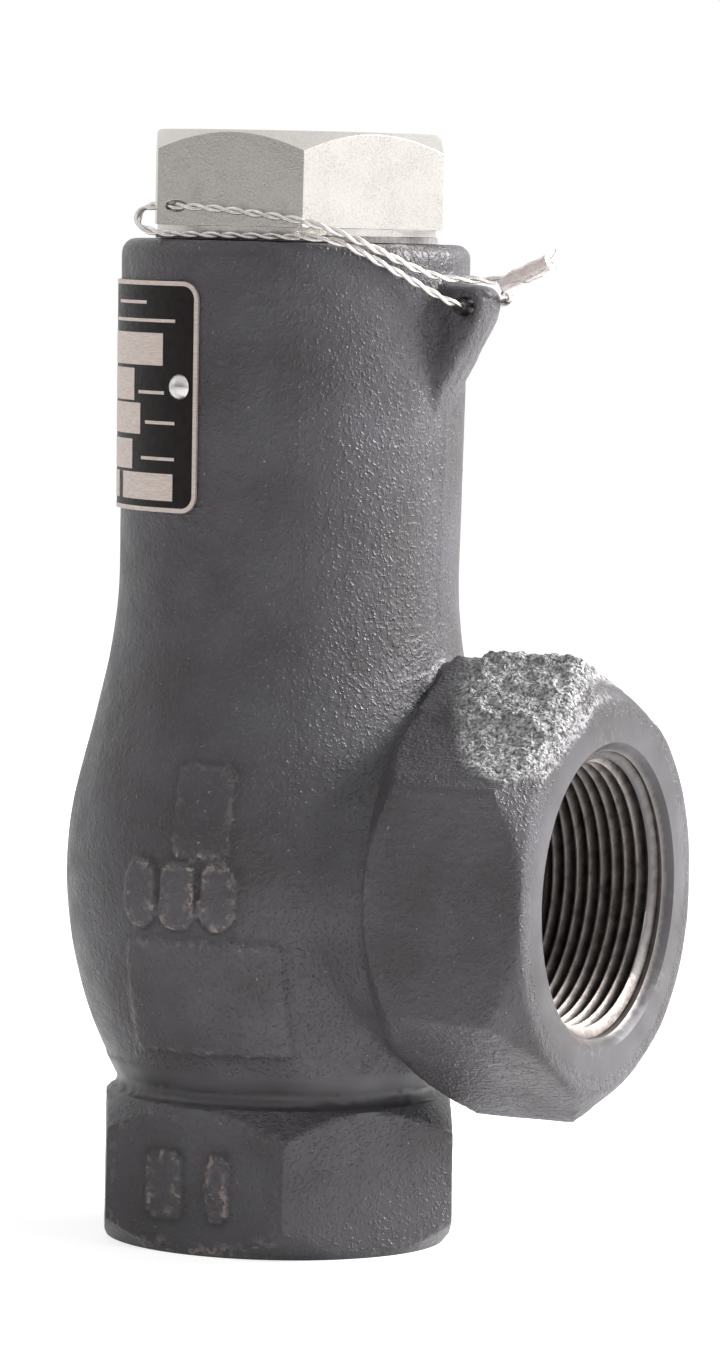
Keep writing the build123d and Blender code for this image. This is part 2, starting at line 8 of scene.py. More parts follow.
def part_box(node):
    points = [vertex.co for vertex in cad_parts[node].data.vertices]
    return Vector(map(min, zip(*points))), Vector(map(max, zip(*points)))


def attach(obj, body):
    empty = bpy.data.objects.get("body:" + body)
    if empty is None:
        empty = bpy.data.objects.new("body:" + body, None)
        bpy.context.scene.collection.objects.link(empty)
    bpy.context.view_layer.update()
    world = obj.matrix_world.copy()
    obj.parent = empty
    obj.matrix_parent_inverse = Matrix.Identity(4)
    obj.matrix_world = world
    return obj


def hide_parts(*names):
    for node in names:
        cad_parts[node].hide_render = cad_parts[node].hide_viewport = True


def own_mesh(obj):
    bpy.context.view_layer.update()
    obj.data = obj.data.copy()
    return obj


# An angle-pattern safety relief valve: a painted iron casting with a screwed inlet below and a
# screwed outlet at the side, a spring and disc inside, and a wire-sealed cap over its adjuster.
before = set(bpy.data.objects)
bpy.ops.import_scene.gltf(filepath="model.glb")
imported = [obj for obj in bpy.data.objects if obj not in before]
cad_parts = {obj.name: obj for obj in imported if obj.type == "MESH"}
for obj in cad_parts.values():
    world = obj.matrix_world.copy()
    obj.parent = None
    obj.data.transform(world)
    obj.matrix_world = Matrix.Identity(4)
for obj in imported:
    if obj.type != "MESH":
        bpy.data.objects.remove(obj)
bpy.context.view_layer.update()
MM = 0.001

# The camera stands in front and to the right, a little above the middle of the valve, with the
# slight lean of a hand-held picture and a long lens.
view_azimuth = radians(27.51)
view_elevation = radians(4.14)
view_lean = radians(1.3)
view_distance = 1100 * MM
view_target = Vector((14.03, 0, 95.11)) * MM
camera_film = 36
camera_lens = 171
away = Vector(
    (sin(view_azimuth) * cos(view_elevation), -cos(view_azimuth) * cos(view_elevation), sin(view_elevation))
)
level = Vector((cos(view_azimuth), sin(view_azimuth), 0))
upright = away.cross(level)
camera_right = level * cos(view_lean) + upright * sin(view_lean)
camera_up = upright * cos(view_lean) - level * sin(view_lean)
camera = bpy.data.objects.new("camera", bpy.data.cameras.new("camera"))
camera.data.sensor_fit = "VERTICAL"
camera.data.sensor_height = camera_film
camera.data.lens = camera_lens
camera.matrix_world = (
    Matrix.Translation(view_target + away * view_distance)
    @ Matrix((camera_right, camera_up, away)).transposed().to_4x4()
)
bpy.context.scene.collection.objects.link(camera)
bpy.context.scene.camera = camera
bpy.context.scene.view_settings.view_transform = "Standard"

# The studio: a pale floor, a large soft lamp behind the valve on the outlet's side, a weak one at
# each side of the front, and a sky that is white to the camera and darker to one side in mirrors.


def node(tree, kind, inputs=None, **settings):
    """A node with its settings made, and its inputs given as values or linked from other nodes."""
    made = tree.nodes.new(kind)
    for name, value in settings.items():
        setattr(made, name, value)
    for key, value in (inputs or {}).items():
        if isinstance(value, bpy.types.NodeSocket):
            tree.links.new(value, made.inputs[key])
        else:
            made.inputs[key].default_value = value
    return made


def maths(tree, operation, first, second=0.0):
    """A sum, product or the like of two numbers of a tree."""
    return node(tree, "ShaderNodeMath", {0: first, 1: second}, operation=operation).outputs[0]


sky = bpy.data.worlds.new("studio")
sky.use_nodes = True
bpy.context.scene.world = sky
sky_tree = sky.node_tree
sky_tree.nodes.clear()
sky_level = 0.36
sky_dark_front = 0.33
sky_bright = 0.88
dark_azimuth = radians(-12)
darkest_facing = 0.9
overhead_share = 0.8
direction = node(sky_tree, "ShaderNodeTexCoord").outputs["Generated"]
front = (sin(dark_azimuth), -cos(dark_azimuth), -overhead_share)
facing = node(sky_tree, "ShaderNodeVectorMath", {0: direction, 1: front}, operation="DOT_PRODUCT")
shade = node(
    sky_tree,
    "ShaderNodeMapRange",
    {"Value": facing.outputs["Value"], 1: 0.0, 2: darkest_facing, 3: sky_bright, 4: sky_dark_front},
    interpolation_type="SMOOTHSTEP",
)
ray = node(sky_tree, "ShaderNodeLightPath").outputs
mirror_ray = maths(sky_tree, "MAXIMUM", ray["Is Glossy Ray"], ray["Is Transmission Ray"])
plain = node(sky_tree, "ShaderNodeMix", {0: mirror_ray, 2: sky_level, 3: shade.outputs[0]})
seen = node(sky_tree, "ShaderNodeMix", {0: ray["Is Camera Ray"], 2: plain.outputs[0], 3: 1.0})
background = node(sky_tree, "ShaderNodeBackground", {"Color": (1, 1, 1, 1), "Strength": seen.outputs[0]})
node(sky_tree, "ShaderNodeOutputWorld", {"Surface": background.outputs[0]})


def area_lamp(name, place, size, power, colour):
    """A square soft lamp that points at the middle of the valve."""
    lamp = bpy.data.objects.new(name, bpy.data.lights.new(name, "AREA"))
    lamp.data.size = size
    lamp.data.energy = power
    lamp.data.color = colour
    lamp.location = place
    lamp.rotation_euler = (view_target - Vector(place)).to_track_quat("-Z", "Y").to_euler()
    bpy.context.scene.collection.objects.link(lamp)


lamp_white = (1.0, 0.985, 0.975)
lamp_warm = (1.0, 0.84, 0.78)
area_lamp("key_lamp", place=(0.74, 0.58, 0.66), size=0.6, power=22, colour=lamp_white)
area_lamp("side_lamp", place=(0.95, -0.20, 0.45), size=0.5, power=0.7, colour=lamp_white)
area_lamp("fill_lamp", place=(-1.1, -0.5, 0.7), size=0.8, power=0.6, colour=lamp_warm)

# The floor takes light as matt white. It also glows to the camera, so that it runs out into the sky,
# and by a share of that in the valve's own reflections.
floor_mesh = bpy.data.meshes.new("floor")
floor_reach = 3.0
floor_corners = [(x * floor_reach, y * floor_reach, 0) for x, y in ((-1, -1), (1, -1), (1, 1), (-1, 1))]
floor_mesh.from_pydata(floor_corners, [], [(0, 1, 2, 3)])
floor = bpy.data.objects.new("floor", floor_mesh)
bpy.context.scene.collection.objects.link(floor)
floor_paint = bpy.data.materials.new("white_sweep")
floor_paint.use_nodes = True
floor_tree = floor_paint.node_tree
floor_tree.nodes.clear()
floor_white = (0.82, 0.82, 0.82, 1)
floor_lift = 0.75
mirror_share = 0.5
floor_matt = node(floor_tree, "ShaderNodeBsdfDiffuse", {"Color": floor_white})
floor_glow = node(floor_tree, "ShaderNodeEmission", {"Color": (1, 1, 1, 1), "Strength": floor_lift})
floor_seen = node(floor_tree, "ShaderNodeAddShader", {0: floor_matt.outputs[0], 1: floor_glow.outputs[0]})
ray = node(floor_tree, "ShaderNodeLightPath").outputs
floor_straight = maths(floor_tree, "MAXIMUM", ray["Is Camera Ray"], ray["Is Transmission Ray"])
floor_mirrored = maths(floor_tree, "MULTIPLY", ray["Is Glossy Ray"], mirror_share)
floor_bright = maths(floor_tree, "MAXIMUM", floor_straight, floor_mirrored)
floor_mix = node(
    floor_tree,
    "ShaderNodeMixShader",
    {0: floor_bright, 1: floor_matt.outputs[0], 2: floor_seen.outputs[0]},
)
node(floor_tree, "ShaderNodeOutputMaterial", {"Surface": floor_mix.outputs[0]})
floor_mesh.materials.append(floor_paint)


# Body: one sand casting in ductile iron, with its hexagons, marks and wire lug cast on. Its faces
# and bores are machined, and it is dipped in dark grey paint that shows the grain of the sand.
weld = 0.001 * MM
grid_size = 0.75 * MM
sharp_edge = radians(20)
skin_rounds = 2
round_edge_rounds = 9
riser_rounds = 14
edge_step = 0.2 * MM
outlet_axis_height = 62.3 * MM
outlet_face = 61.65 * MM
outlet_mouth = 25.63 * MM
outlet_thread = 24.03 * MM
outlet_thread_start = 39.65 * MM
outlet_half_flats = 33.5 * MM
outlet_round_edge = 30.0 * MM
outlet_round_depth = 4.0 * MM
outlet_flat_lean = radians(30)
inlet_thread = 20.99 * MM
inlet_thread_end = 19.5 * MM
inlet_bore_end = 24.5 * MM
housing_bore = 22.5 * MM
housing_bore_foot = 80 * MM
inlet_runout = 0.5 * MM
wall_clearance = 0.15 * MM


def new_piece(name, mesh):
    """A new object of the scene, at the origin."""
    piece = bpy.data.objects.new(name, mesh)
    bpy.context.scene.collection.objects.link(piece)
    return piece


def joined_copy(node_name, piece_name):
    """A copy of a CAD node whose loose triangles are joined into one skin."""
    form = bmesh.new()
    form.from_mesh(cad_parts[node_name].data)
    bmesh.ops.remove_doubles(form, verts=form.verts, dist=weld)
    mesh = bpy.data.meshes.new(piece_name)
    form.to_mesh(mesh)
    form.free()
    return new_piece(piece_name, mesh)


def made_plain(piece):
    """Keep what a piece's modifiers make as its own mesh."""
    evaluated = piece.evaluated_get(bpy.context.evaluated_depsgraph_get())
    mesh = bpy.data.meshes.new_from_object(evaluated)
    piece.modifiers.clear()
    piece.data = mesh
    return piece


def smooth(piece, angle=30):
    """Smooth shading that breaks at edges sharper than an angle in degrees."""
    piece.data.shade_smooth()
    piece.data.set_sharp_from_angle(angle=radians(angle))
    return piece


def point_values(piece, name, values):
    """Store one number for each point of a mesh, for a material or a tree to read."""
    layer = piece.data.attributes.new(name, "FLOAT", "POINT")
    layer.data.foreach_set("value", values)


def edge_samples(piece):
    """Points along a mesh's sharp edges, with whether each edge stands out."""
    form = bmesh.new()
    form.from_mesh(piece.data)
    samples = []
    for edge in form.edges:
        if len(edge.link_faces) == 2 and edge.calc_face_angle(0) > sharp_edge:
            start, end = (v.co.copy() for v in edge.verts)
            steps = max(1, ceil((end - start).length / edge_step))
            out = edge.calc_face_angle_signed(0) > 0
            samples += [(start.lerp(end, i / steps), out) for i in range(steps + 1)]
    form.free()
    return samples


def search_tree(points):
    """A search tree over points."""
    tree = kdtree.KDTree(len(points))
    for index, point in enumerate(points):
        tree.insert(point, index)
    tree.balance()
    return tree


def from_outlet_axis(point):
    """The distance of a point from the outlet's axis."""
    return sqrt(point.y**2 + (point.z - outlet_axis_height) ** 2)


def from_main_axis(point):
    """The distance of a point from the axis of the inlet and the housing."""
    return sqrt(point.x**2 + point.y**2)


# A point counts as on a face or a wall when it is this near, and the countersunk mouths are deeper.
face_slack = 0.1 * MM
wall_slack = 0.2 * MM
inlet_mouth_slack = 0.9 * MM
outlet_bare_depth = 1.5 * MM
outlet_mouth_depth = 2 * MM
outlet_bare_start = 30 * MM


def is_bare(point):
    """Whether a point of the casting lies in a bore, which is cut after painting."""
    along_outlet = outlet_bare_start < point.x < outlet_face - outlet_bare_depth
    outlet_cut = along_outlet and from_outlet_axis(point) < outlet_thread + wall_slack
    inlet_cut = from_main_axis(point) < inlet_thread + inlet_mouth_slack and point.z < inlet_bore_end
    housing_cut = from_main_axis(point) < housing_bore + wall_slack and point.z > housing_bore_foot
    return outlet_cut or inlet_cut or housing_cut


def is_face(point):
    """Whether a point of the casting lies on the inlet's or the outlet's cut face."""
    off_axis = from_outlet_axis(point)
    on_outlet = point.x > outlet_face - face_slack and off_axis < outlet_round_edge
    on_mouth = point.x > outlet_face - outlet_mouth_depth and off_axis < outlet_mouth + wall_slack
    return on_outlet or on_mouth or point.z < face_slack


# The hollow's walls: the inlet's and the housing's bores, the chamber between them, which is wider in
# its upper part, and the outlet's core.
hollow_foot = 0.5 * MM
chamber_foot = 23 * MM
chamber_step = 40 * MM
chamber_head = 86 * MM
chamber_low_radius = 29.5 * MM
chamber_high_radius = 31.0 * MM
outlet_hollow_start = 10 * MM
outlet_hollow_end = 59 * MM


def is_inside(point):
    """Whether a point of the casting lies on its hollow's walls."""
    off_axis = from_main_axis(point)
    low = off_axis < inlet_thread + wall_slack and hollow_foot < point.z < inlet_bore_end
    chamber_radius = chamber_low_radius if point.z < chamber_step else chamber_high_radius
    middle = off_axis < chamber_radius and chamber_foot < point.z < chamber_head
    high = off_axis < housing_bore + wall_slack and point.z > housing_bore_foot
    along_outlet = outlet_hollow_start < point.x < outlet_hollow_end
    side = along_outlet and from_outlet_axis(point) < outlet_thread + wall_slack
    return low or middle or high or side


# The riser broke off the outlet's two upper flats. Its rough patch has this outline on a flat, along
# the outlet's axis and across the flat in millimetres, and fades out towards the back.
riser_outline = (
    (32.0, 24.0),
    (34.5, 9.0),
    (44.0, -8.0),
    (48.5, -14.5),
    (57.2, -17.3),
    (60.9, -11.2),
    (61.3, 2.1),
    (60.4, 8.2),
    (58.4, 24.0),
)
riser_depth = 3 * MM
riser_fade = 1.2 * MM
riser_back_fade = 7 * MM
riser_coarse_from = 50 * MM
riser_back = 33 * MM


def inside_share(x, y, outline, fade):
    """1 well inside an outline, 0 outside it, and a slope between."""
    nearest = fade
    inside = False
    for (ax, ay), (bx, by) in zip(outline, outline[1:] + outline[:1]):
        dx, dy = bx - ax, by - ay
        share = max(0.0, min(1.0, ((x - ax) * dx + (y - ay) * dy) / (dx * dx + dy * dy)))
        nearest = min(nearest, sqrt((x - ax - share * dx) ** 2 + (y - ay - share * dy) ** 2))
        if (ay > y) != (by > y) and x < ax + (y - ay) / (by - ay) * (bx - ax):
            inside = not inside
    return nearest / fade if inside else 0.0


def flat_place(point):
    """A point seen square on to an upper flat: its height over the outlet's axis, and its place across."""
    across = abs(point.y)
    above = point.z - outlet_axis_height
    height = across * sin(outlet_flat_lean) + above * cos(outlet_flat_lean)
    return height, above * sin(outlet_flat_lean) - across * cos(outlet_flat_lean)


def riser_share(point):
    """How fully a point lies in the riser's rough patch."""
    height, along = flat_place(point)
    if height < outlet_half_flats - riser_depth or point.z < outlet_axis_height:
        return 0.0
    behind = max(0.0, min(1.0, (riser_coarse_from - point.x) / (riser_coarse_from - riser_back)))
    fade = riser_fade + behind * (riser_back_fade - riser_fade)
    return inside_share(point.x, along, [(x * MM, y * MM) for x, y in riser_outline], fade)


# The front of the patch was dressed to a slope on the upper front flat, so that no edge stands up.
ease_angle = radians(38)
ease_start = 58.3 * MM
ease_fade = 5.0 * MM


def eased(point):
    """A point of the outlet's upper front flat, moved onto the dressed slope if it stands over it."""
    if point.y > 0 or point.x < ease_start or point.z < outlet_axis_height:
        return point
    height = flat_place(point)[0]
    over = (point.x - ease_start) * sin(ease_angle) + (height - outlet_half_flats) * cos(ease_angle)
    if over <= 0:
        return point
    over *= min(1.0, -point.y / ease_fade)
    lowered = over * cos(ease_angle)
    step = (over * sin(ease_angle), -lowered * sin(outlet_flat_lean), lowered * cos(outlet_flat_lean))
    return point - Vector(step)


# The raised marks stand on the front. Those on the inlet's hexagon and the three studs are the most
# rubbed, and get the most painted shade and painted glints round their edges.
marks_front = -20 * MM
marks_reach = 16 * MM
marks_head = 84 * MM
hexagon_marks_head = 18 * MM
studs_foot = 54 * MM
studs_head = 68 * MM
light_marks_share = 0.25


def mark_share(point):
    """How rubbed the raised marks are at a point, which also sets the painted shade and painted glints
    round them.
    """
    if point.y > marks_front or abs(point.x) > marks_reach or point.z > marks_head:
        return 0.0
    return 1.0 if point.z < hexagon_marks_head or studs_foot < point.z < studs_head else light_marks_share


def is_threaded(point):
    """Whether a point of the casting lies on a bore's wall that a thread is cut into."""
    off_axis = from_main_axis(point)
    inlet_wall = abs(off_axis - inlet_thread) < grid_size and point.z < inlet_thread_end + inlet_runout
    housing_wall = abs(off_axis - housing_bore) < grid_size and point.z > housing_bore_foot
    past_core = point.x > outlet_thread_start - grid_size
    outlet_wall = past_core and abs(from_outlet_axis(point) - outlet_thread) < grid_size
    return inlet_wall or housing_wall or outlet_wall


def pushed_out(point):
    """A point of a threaded wall, moved a little into the iron, behind its thread."""
    if point.x > outlet_thread_start - grid_size:
        scale = 1 + wall_clearance / from_outlet_axis(point)
        height = outlet_axis_height + (point.z - outlet_axis_height) * scale
        return Vector((point.x, point.y * scale, height))
    scale = 1 + wall_clearance / from_main_axis(point)
    return Vector((point.x * scale, point.y * scale, point.z))


# The moulds met on the valve's middle plane. The parting line is left on the outlet's side, above the
# outlet. The top corner of the outlet and the lug are as soft as the riser's patch.
parting_width = 0.45 * MM
parting_foot = 92 * MM
soft_foot = 90 * MM
soft_start = 33 * MM


def marks_at(point, near_edge, stands_out, on_round_edge):
    """What the paint and the skin need to know of a point, as one number for each name."""
    bare = is_bare(point)
    inner = is_inside(point)
    skin = not bare and not inner and not is_face(point)
    on_parting = skin and point.x > 0 and point.z > parting_foot
    return {
        "machined": float(not skin),
        "bare": float(bare),
        "edge_wear_and_glint": near_edge if stands_out and not inner and not on_round_edge else 0.0,
        "crease_shade": 0.0 if stands_out else near_edge,
        "riser": riser_share(point) if skin else 0.0,
        "parting": exp(-((point.y / parting_width) ** 2)) if on_parting else 0.0,
        "marks_wear_and_painted_light": mark_share(point) if skin else 0.0,
    }


def rounds_at(point, riser, on_round_edge):
    """How many rounds of smoothing a point of the cast skin gets."""
    if riser > 0 or point.z > soft_foot and point.x > soft_start:
        return riser_rounds
    return round_edge_rounds if on_round_edge else skin_rounds


def gridded(piece, size):
    """Mesh a piece anew as an even grid of small faces."""
    remesh = piece.modifiers.new("grid", "REMESH")
    remesh.mode = "VOXEL"
    remesh.voxel_size = size
    made_plain(piece)


def softened(piece, rounds_of):
    """Smooth a piece's points, each by its own number of rounds."""
    form = bmesh.new()
    form.from_mesh(piece.data)
    form.verts.ensure_lookup_table()
    for turn in range(max(rounds_of.values())):
        points = [form.verts[index] for index, rounds in rounds_of.items() if rounds > turn]
        bmesh.ops.smooth_vert(
            form, verts=points, factor=0.5, use_axis_x=True, use_axis_y=True, use_axis_z=True
        )
    form.to_mesh(piece.data)
    form.free()


casting = joined_copy("body", "casting")
features = edge_samples(casting)
feature_tree = search_tree([point for point, _ in features])
gridded(casting, grid_size)
snap_reach = 0.7 * grid_size
edge_reach = 1.1 * MM
marks = {}
rounds_of = {}
for vertex in casting.data.vertices:
    spot, index, distance = feature_tree.find(vertex.co)
    on_round_edge = spot.x > outlet_face - outlet_round_depth and from_outlet_axis(spot) > outlet_round_edge
    if distance < snap_reach and not on_round_edge:
        vertex.co = spot
    vertex.co = eased(vertex.co)
    near_edge = exp(-((distance / edge_reach) ** 2))
    found = marks_at(vertex.co, near_edge, features[index][1], on_round_edge)
    for name, value in found.items():
        marks.setdefault(name, []).append(value)
    if is_threaded(vertex.co):
        vertex.co = pushed_out(vertex.co)
    elif not found["machined"]:
        rounds_of[vertex.index] = rounds_at(vertex.co, found["riser"], on_round_edge)
for name, values in marks.items():
    point_values(casting, name, values)
softened(casting, rounds_of)


def painted(name, colour, roughness=0.5, metallic=0.0):
    """A new material with its tree, its shader, and the place on the piece in millimetres."""
    material = bpy.data.materials.new(name)
    material.use_nodes = True
    tree = material.node_tree
    tree.nodes.clear()
    looks = {"Base Color": (*colour, 1), "Roughness": roughness, "Metallic": metallic}
    shader = node(tree, "ShaderNodeBsdfPrincipled", looks)
    node(tree, "ShaderNodeOutputMaterial", {"Surface": shader.outputs[0]})
    coordinates = node(tree, "ShaderNodeTexCoord").outputs["Object"]
    in_millimetres = {"Vector": coordinates, "Scale": (1 / MM, 1 / MM, 1 / MM)}
    place = node(tree, "ShaderNodeMapping", in_millimetres).outputs[0]
    return material, tree, shader, place


def mottle(tree, place, size, low=0.0, high=1.0, first=0.35, last=0.65, detail=3.0):
    """Noise of a size in millimetres, spread from one value to another."""
    grain = node(tree, "ShaderNodeTexNoise", {"Vector": place, "Scale": 1 / size, "Detail": detail})
    spread = {"Value": grain.outputs[0], 1: first, 2: last, 3: low, 4: high}
    return node(tree, "ShaderNodeMapRange", spread).outputs[0]


def tinted(tree, share, under, over):
    """One colour laid over another by a share."""
    colours = [(*c, 1) if isinstance(c, tuple) else c for c in (under, over)]
    mix = node(tree, "ShaderNodeMix", {}, data_type="RGBA")
    for socket, value in ((mix.inputs[0], share), (mix.inputs[6], colours[0]), (mix.inputs[7], colours[1])):
        if isinstance(value, bpy.types.NodeSocket):
            tree.links.new(value, socket)
        else:
            socket.default_value = value
    return mix.outputs[2]


def stored(tree, name):
    """A number that was stored for each point of the mesh."""
    return node(tree, "ShaderNodeAttribute", attribute_name=name).outputs["Fac"]


def dented(tree, shader, height, depth, strength=1.0, under=None):
    """Bumps on a shader: a height from 0 to 1 and a depth in millimetres."""
    values = {"Height": height, "Distance": depth * MM, "Strength": strength}
    if under:
        values["Normal"] = under
    bump = node(tree, "ShaderNodeBump", values).outputs[0]
    tree.links.new(bump, shader.inputs["Normal"])
    return bump


paint_grey = (0.111, 0.107, 0.120)
paint_dark = (0.074, 0.069, 0.074)
paint_pale = (0.20, 0.198, 0.205)
fleck_pale = (0.48, 0.45, 0.42)
fleck_tan_and_glint = (0.46, 0.37, 0.33)
fleck_rust = (0.17, 0.085, 0.05)
crease_shade_dark = (0.030, 0.027, 0.027)
riser_pale = (0.82, 0.82, 0.825)
riser_dark = (0.19, 0.188, 0.192)
iron_bare = (0.24, 0.22, 0.20)
riser_cover = 0.9
bare_metallic = 0.8
crease_shade_share = 0.5
marks_extra_shade = 0.4
iron_paint, tree, shader, place = painted("painted_iron", paint_grey)
bare = stored(tree, "bare")
edge_wear_and_glint = stored(tree, "edge_wear_and_glint")
riser = stored(tree, "riser")
marks_wear_and_painted_light = stored(tree, "marks_wear_and_painted_light")
as_cast = maths(tree, "SUBTRACT", 1.0, stored(tree, "machined"))

# Worn edges are scuffed pale and chipped to rust, in patches and on every raised mark.
tone = tinted(tree, mottle(tree, place, 14, detail=5), paint_dark, paint_grey)
patches = maths(tree, "MAXIMUM", marks_wear_and_painted_light, mottle(tree, place, 11, first=0.52, last=0.66))
worn_patches = maths(tree, "MULTIPLY", edge_wear_and_glint, patches)
scuffs = maths(tree, "MULTIPLY", worn_patches, mottle(tree, place, 1.3, high=0.9, first=0.48, last=0.62))
tone = tinted(tree, scuffs, tone, paint_pale)
chips = maths(tree, "MULTIPLY", worn_patches, mottle(tree, place, 0.8, first=0.62, last=0.68))
tone = tinted(tree, chips, tone, fleck_rust)
sparse = mottle(tree, place, 0.8, high=0.5, first=0.76, last=0.79, detail=1)
tone = tinted(tree, maths(tree, "MULTIPLY", as_cast, sparse), tone, fleck_pale)
# The raised marks' edges get pale tan flecks, partly worn paint and partly painted glints.
mark_edges_worn_and_lit = maths(tree, "MULTIPLY", edge_wear_and_glint, marks_wear_and_painted_light)
scraped_and_glint = maths(tree, "MULTIPLY", mark_edges_worn_and_lit, mottle(tree, place, 1.9, high=0.8, first=0.57, last=0.62))
tone = tinted(tree, scraped_and_glint, tone, fleck_tan_and_glint)

# Shade is painted into the creases, darker still round the raised marks, the riser's face is gritty, and
# the bores are bare iron.
crease_shade_amount = maths(tree, "ADD", crease_shade_share, maths(tree, "MULTIPLY", marks_wear_and_painted_light, marks_extra_shade))
tone = tinted(tree, maths(tree, "MULTIPLY", stored(tree, "crease_shade"), crease_shade_amount), tone, crease_shade_dark)
grit = tinted(tree, mottle(tree, place, 0.6, first=0.38, last=0.6), riser_dark, riser_pale)
tone = tinted(tree, maths(tree, "MULTIPLY", riser, riser_cover), tone, grit)
tone = tinted(tree, bare, tone, iron_bare)
tree.links.new(tone, shader.inputs["Base Color"])
tree.links.new(maths(tree, "MULTIPLY", bare, bare_metallic), shader.inputs["Metallic"])
tree.links.new(mottle(tree, place, 6, low=0.30, high=0.44, detail=4), shader.inputs["Roughness"])

# The paint shows the sand's grain and pits, and the riser's coarser grains.
sand = maths(tree, "MULTIPLY", as_cast, mottle(tree, place, 0.62, first=0.52, last=0.76, detail=1))
pits = maths(tree, "MULTIPLY", as_cast, mottle(tree, place, 1.5, first=0.35, last=0.6, detail=2))
fine = dented(tree, shader, sand, depth=0.16)
coarse = dented(tree, shader, pits, depth=0.09, strength=0.8, under=fine)
grains = maths(tree, "MULTIPLY", riser, mottle(tree, place, 0.7, detail=2))
dented(tree, shader, grains, depth=0.4, strength=0.9, under=coarse)


def growing_tree(name, inputs):
    """A geometry tree with named inputs, and its input node."""
    tree = bpy.data.node_groups.new(name, "GeometryNodeTree")
    tree.interface.new_socket("Geometry", in_out="INPUT", socket_type="NodeSocketGeometry")
    for label in inputs:
        tree.interface.new_socket(label, in_out="INPUT", socket_type="NodeSocketFloat")
    tree.interface.new_socket("Geometry", in_out="OUTPUT", socket_type="NodeSocketGeometry")
    return tree, node(tree, "NodeGroupInput").outputs


def grown(piece, tree, last, material, values):
    """End a tree with realised, painted geometry, run it on a piece, and keep what it makes."""
    real = node(tree, "GeometryNodeRealizeInstances", {0: last})
    coloured = node(tree, "GeometryNodeSetMaterial", {"Geometry": real.outputs[0], "Material": material})
    node(tree, "NodeGroupOutput", {0: coloured.outputs[0]})
    modifier = piece.modifiers.new(tree.name, "NODES")
    modifier.node_group = tree
    for item in tree.interface.items_tree:
        if item.in_out == "INPUT" and item.name in values:
            modifier[item.identifier] = float(values[item.name])
    if piece.type == "MESH":
        return made_plain(piece)
    evaluated = piece.evaluated_get(bpy.context.evaluated_depsgraph_get())
    mesh = bpy.data.meshes.new_from_object(evaluated)
    name = piece.name
    bpy.data.objects.remove(piece)
    return new_piece(name, mesh)


# The sand's grain, the slow swell of the pattern, the broken riser's coarse face and the parting
# line are in the skin itself. Grain and swell are mostly sunk, so that the skin stays in the solid.
sunk_level = 0.8
kept_faces = 0.52
cast_values = {
    "Grain Height": 0.10 * MM,
    "Grain Scale": 1 / (2.0 * MM),
    "Swell Height": 0.35 * MM,
    "Swell Scale": 1 / (16 * MM),
    "Riser Height": 3.4 * MM,
    "Riser Scale": 1 / (1.7 * MM),
    "Parting Height": 0.22 * MM,
    "Seed": 3.0,
}
skin_tree, given = growing_tree("cast_skin", cast_values)
spot = node(skin_tree, "GeometryNodeInputPosition").outputs[0]
normal = node(skin_tree, "GeometryNodeInputNormal").outputs[0]


def stored_float(tree, name):
    """A stored number in a geometry tree."""
    values = {"Name": name}
    return node(tree, "GeometryNodeInputNamedAttribute", values, data_type="FLOAT").outputs[0]


def relief(height, scale, mask, level, detail):
    """Noise about a level, times a height and a stored mask."""
    grain = node(
        skin_tree,
        "ShaderNodeTexNoise",
        {"Vector": spot, "W": given["Seed"], "Scale": given[scale], "Detail": detail},
        noise_dimensions="4D",
    ).outputs[0]
    centred = maths(skin_tree, "SUBTRACT", grain, level)
    return maths(skin_tree, "MULTIPLY", maths(skin_tree, "MULTIPLY", centred, given[height]), mask)


cast_mask = maths(skin_tree, "SUBTRACT", 1.0, stored_float(skin_tree, "machined"))
raised = maths(
    skin_tree,
    "ADD",
    relief("Grain Height", "Grain Scale", cast_mask, level=sunk_level, detail=3.0),
    relief("Swell Height", "Swell Scale", cast_mask, level=sunk_level, detail=1.0),
)
riser_mask = stored_float(skin_tree, "riser")
broken = relief("Riser Height", "Riser Scale", riser_mask, level=0.5, detail=4.0)
raised = maths(skin_tree, "ADD", raised, broken)
parting = maths(skin_tree, "MULTIPLY", stored_float(skin_tree, "parting"), given["Parting Height"])
raised = maths(skin_tree, "ADD", raised, parting)
shift = node(skin_tree, "ShaderNodeVectorMath", {0: normal, "Scale": raised}, operation="SCALE").outputs[0]
moved = node(skin_tree, "GeometryNodeSetPosition", {"Geometry": given["Geometry"], "Offset": shift})
grown(casting, skin_tree, moved.outputs[0], iron_paint, cast_values)
for vertex in casting.data.vertices:
    vertex.co.x = min(vertex.co.x, outlet_face)
    vertex.co.z = max(vertex.co.z, 0.0)
thin = casting.modifiers.new("thin", "DECIMATE")
thin.ratio = kept_faces
made_plain(casting)
smooth(casting, angle=40)
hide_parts("body")
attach(casting, "valve_body")


# Pipe threads: taper threads cut into the inlet and the outlet with a tap, their mouths countersunk.
# The iron is bare there, with oil and dust left in the roots, and shade is painted into the roots.
thread_pitch = 2.2087 * MM
thread_depth = 1.77 * MM
thread_taper = 1 / 32
thread_sides = 160
thread_profile = ((0.0, 0.0), (0.08, 0.0), (0.46, 1.0), (0.54, 1.0))
liner_wall = 0.4 * MM
liner_tuck = 0.1 * MM
rounding = 1e-6


def thread_height(phase):
    """The height of the thread's profile, from root to crest, at a share of its pitch."""
    for (first, low), (last, high) in zip(thread_profile, thread_profile[1:] + ((1.0, 0.0),)):
        if phase < last:
            return low + (high - low) * (phase - first) / (last - first)
    return 0.0


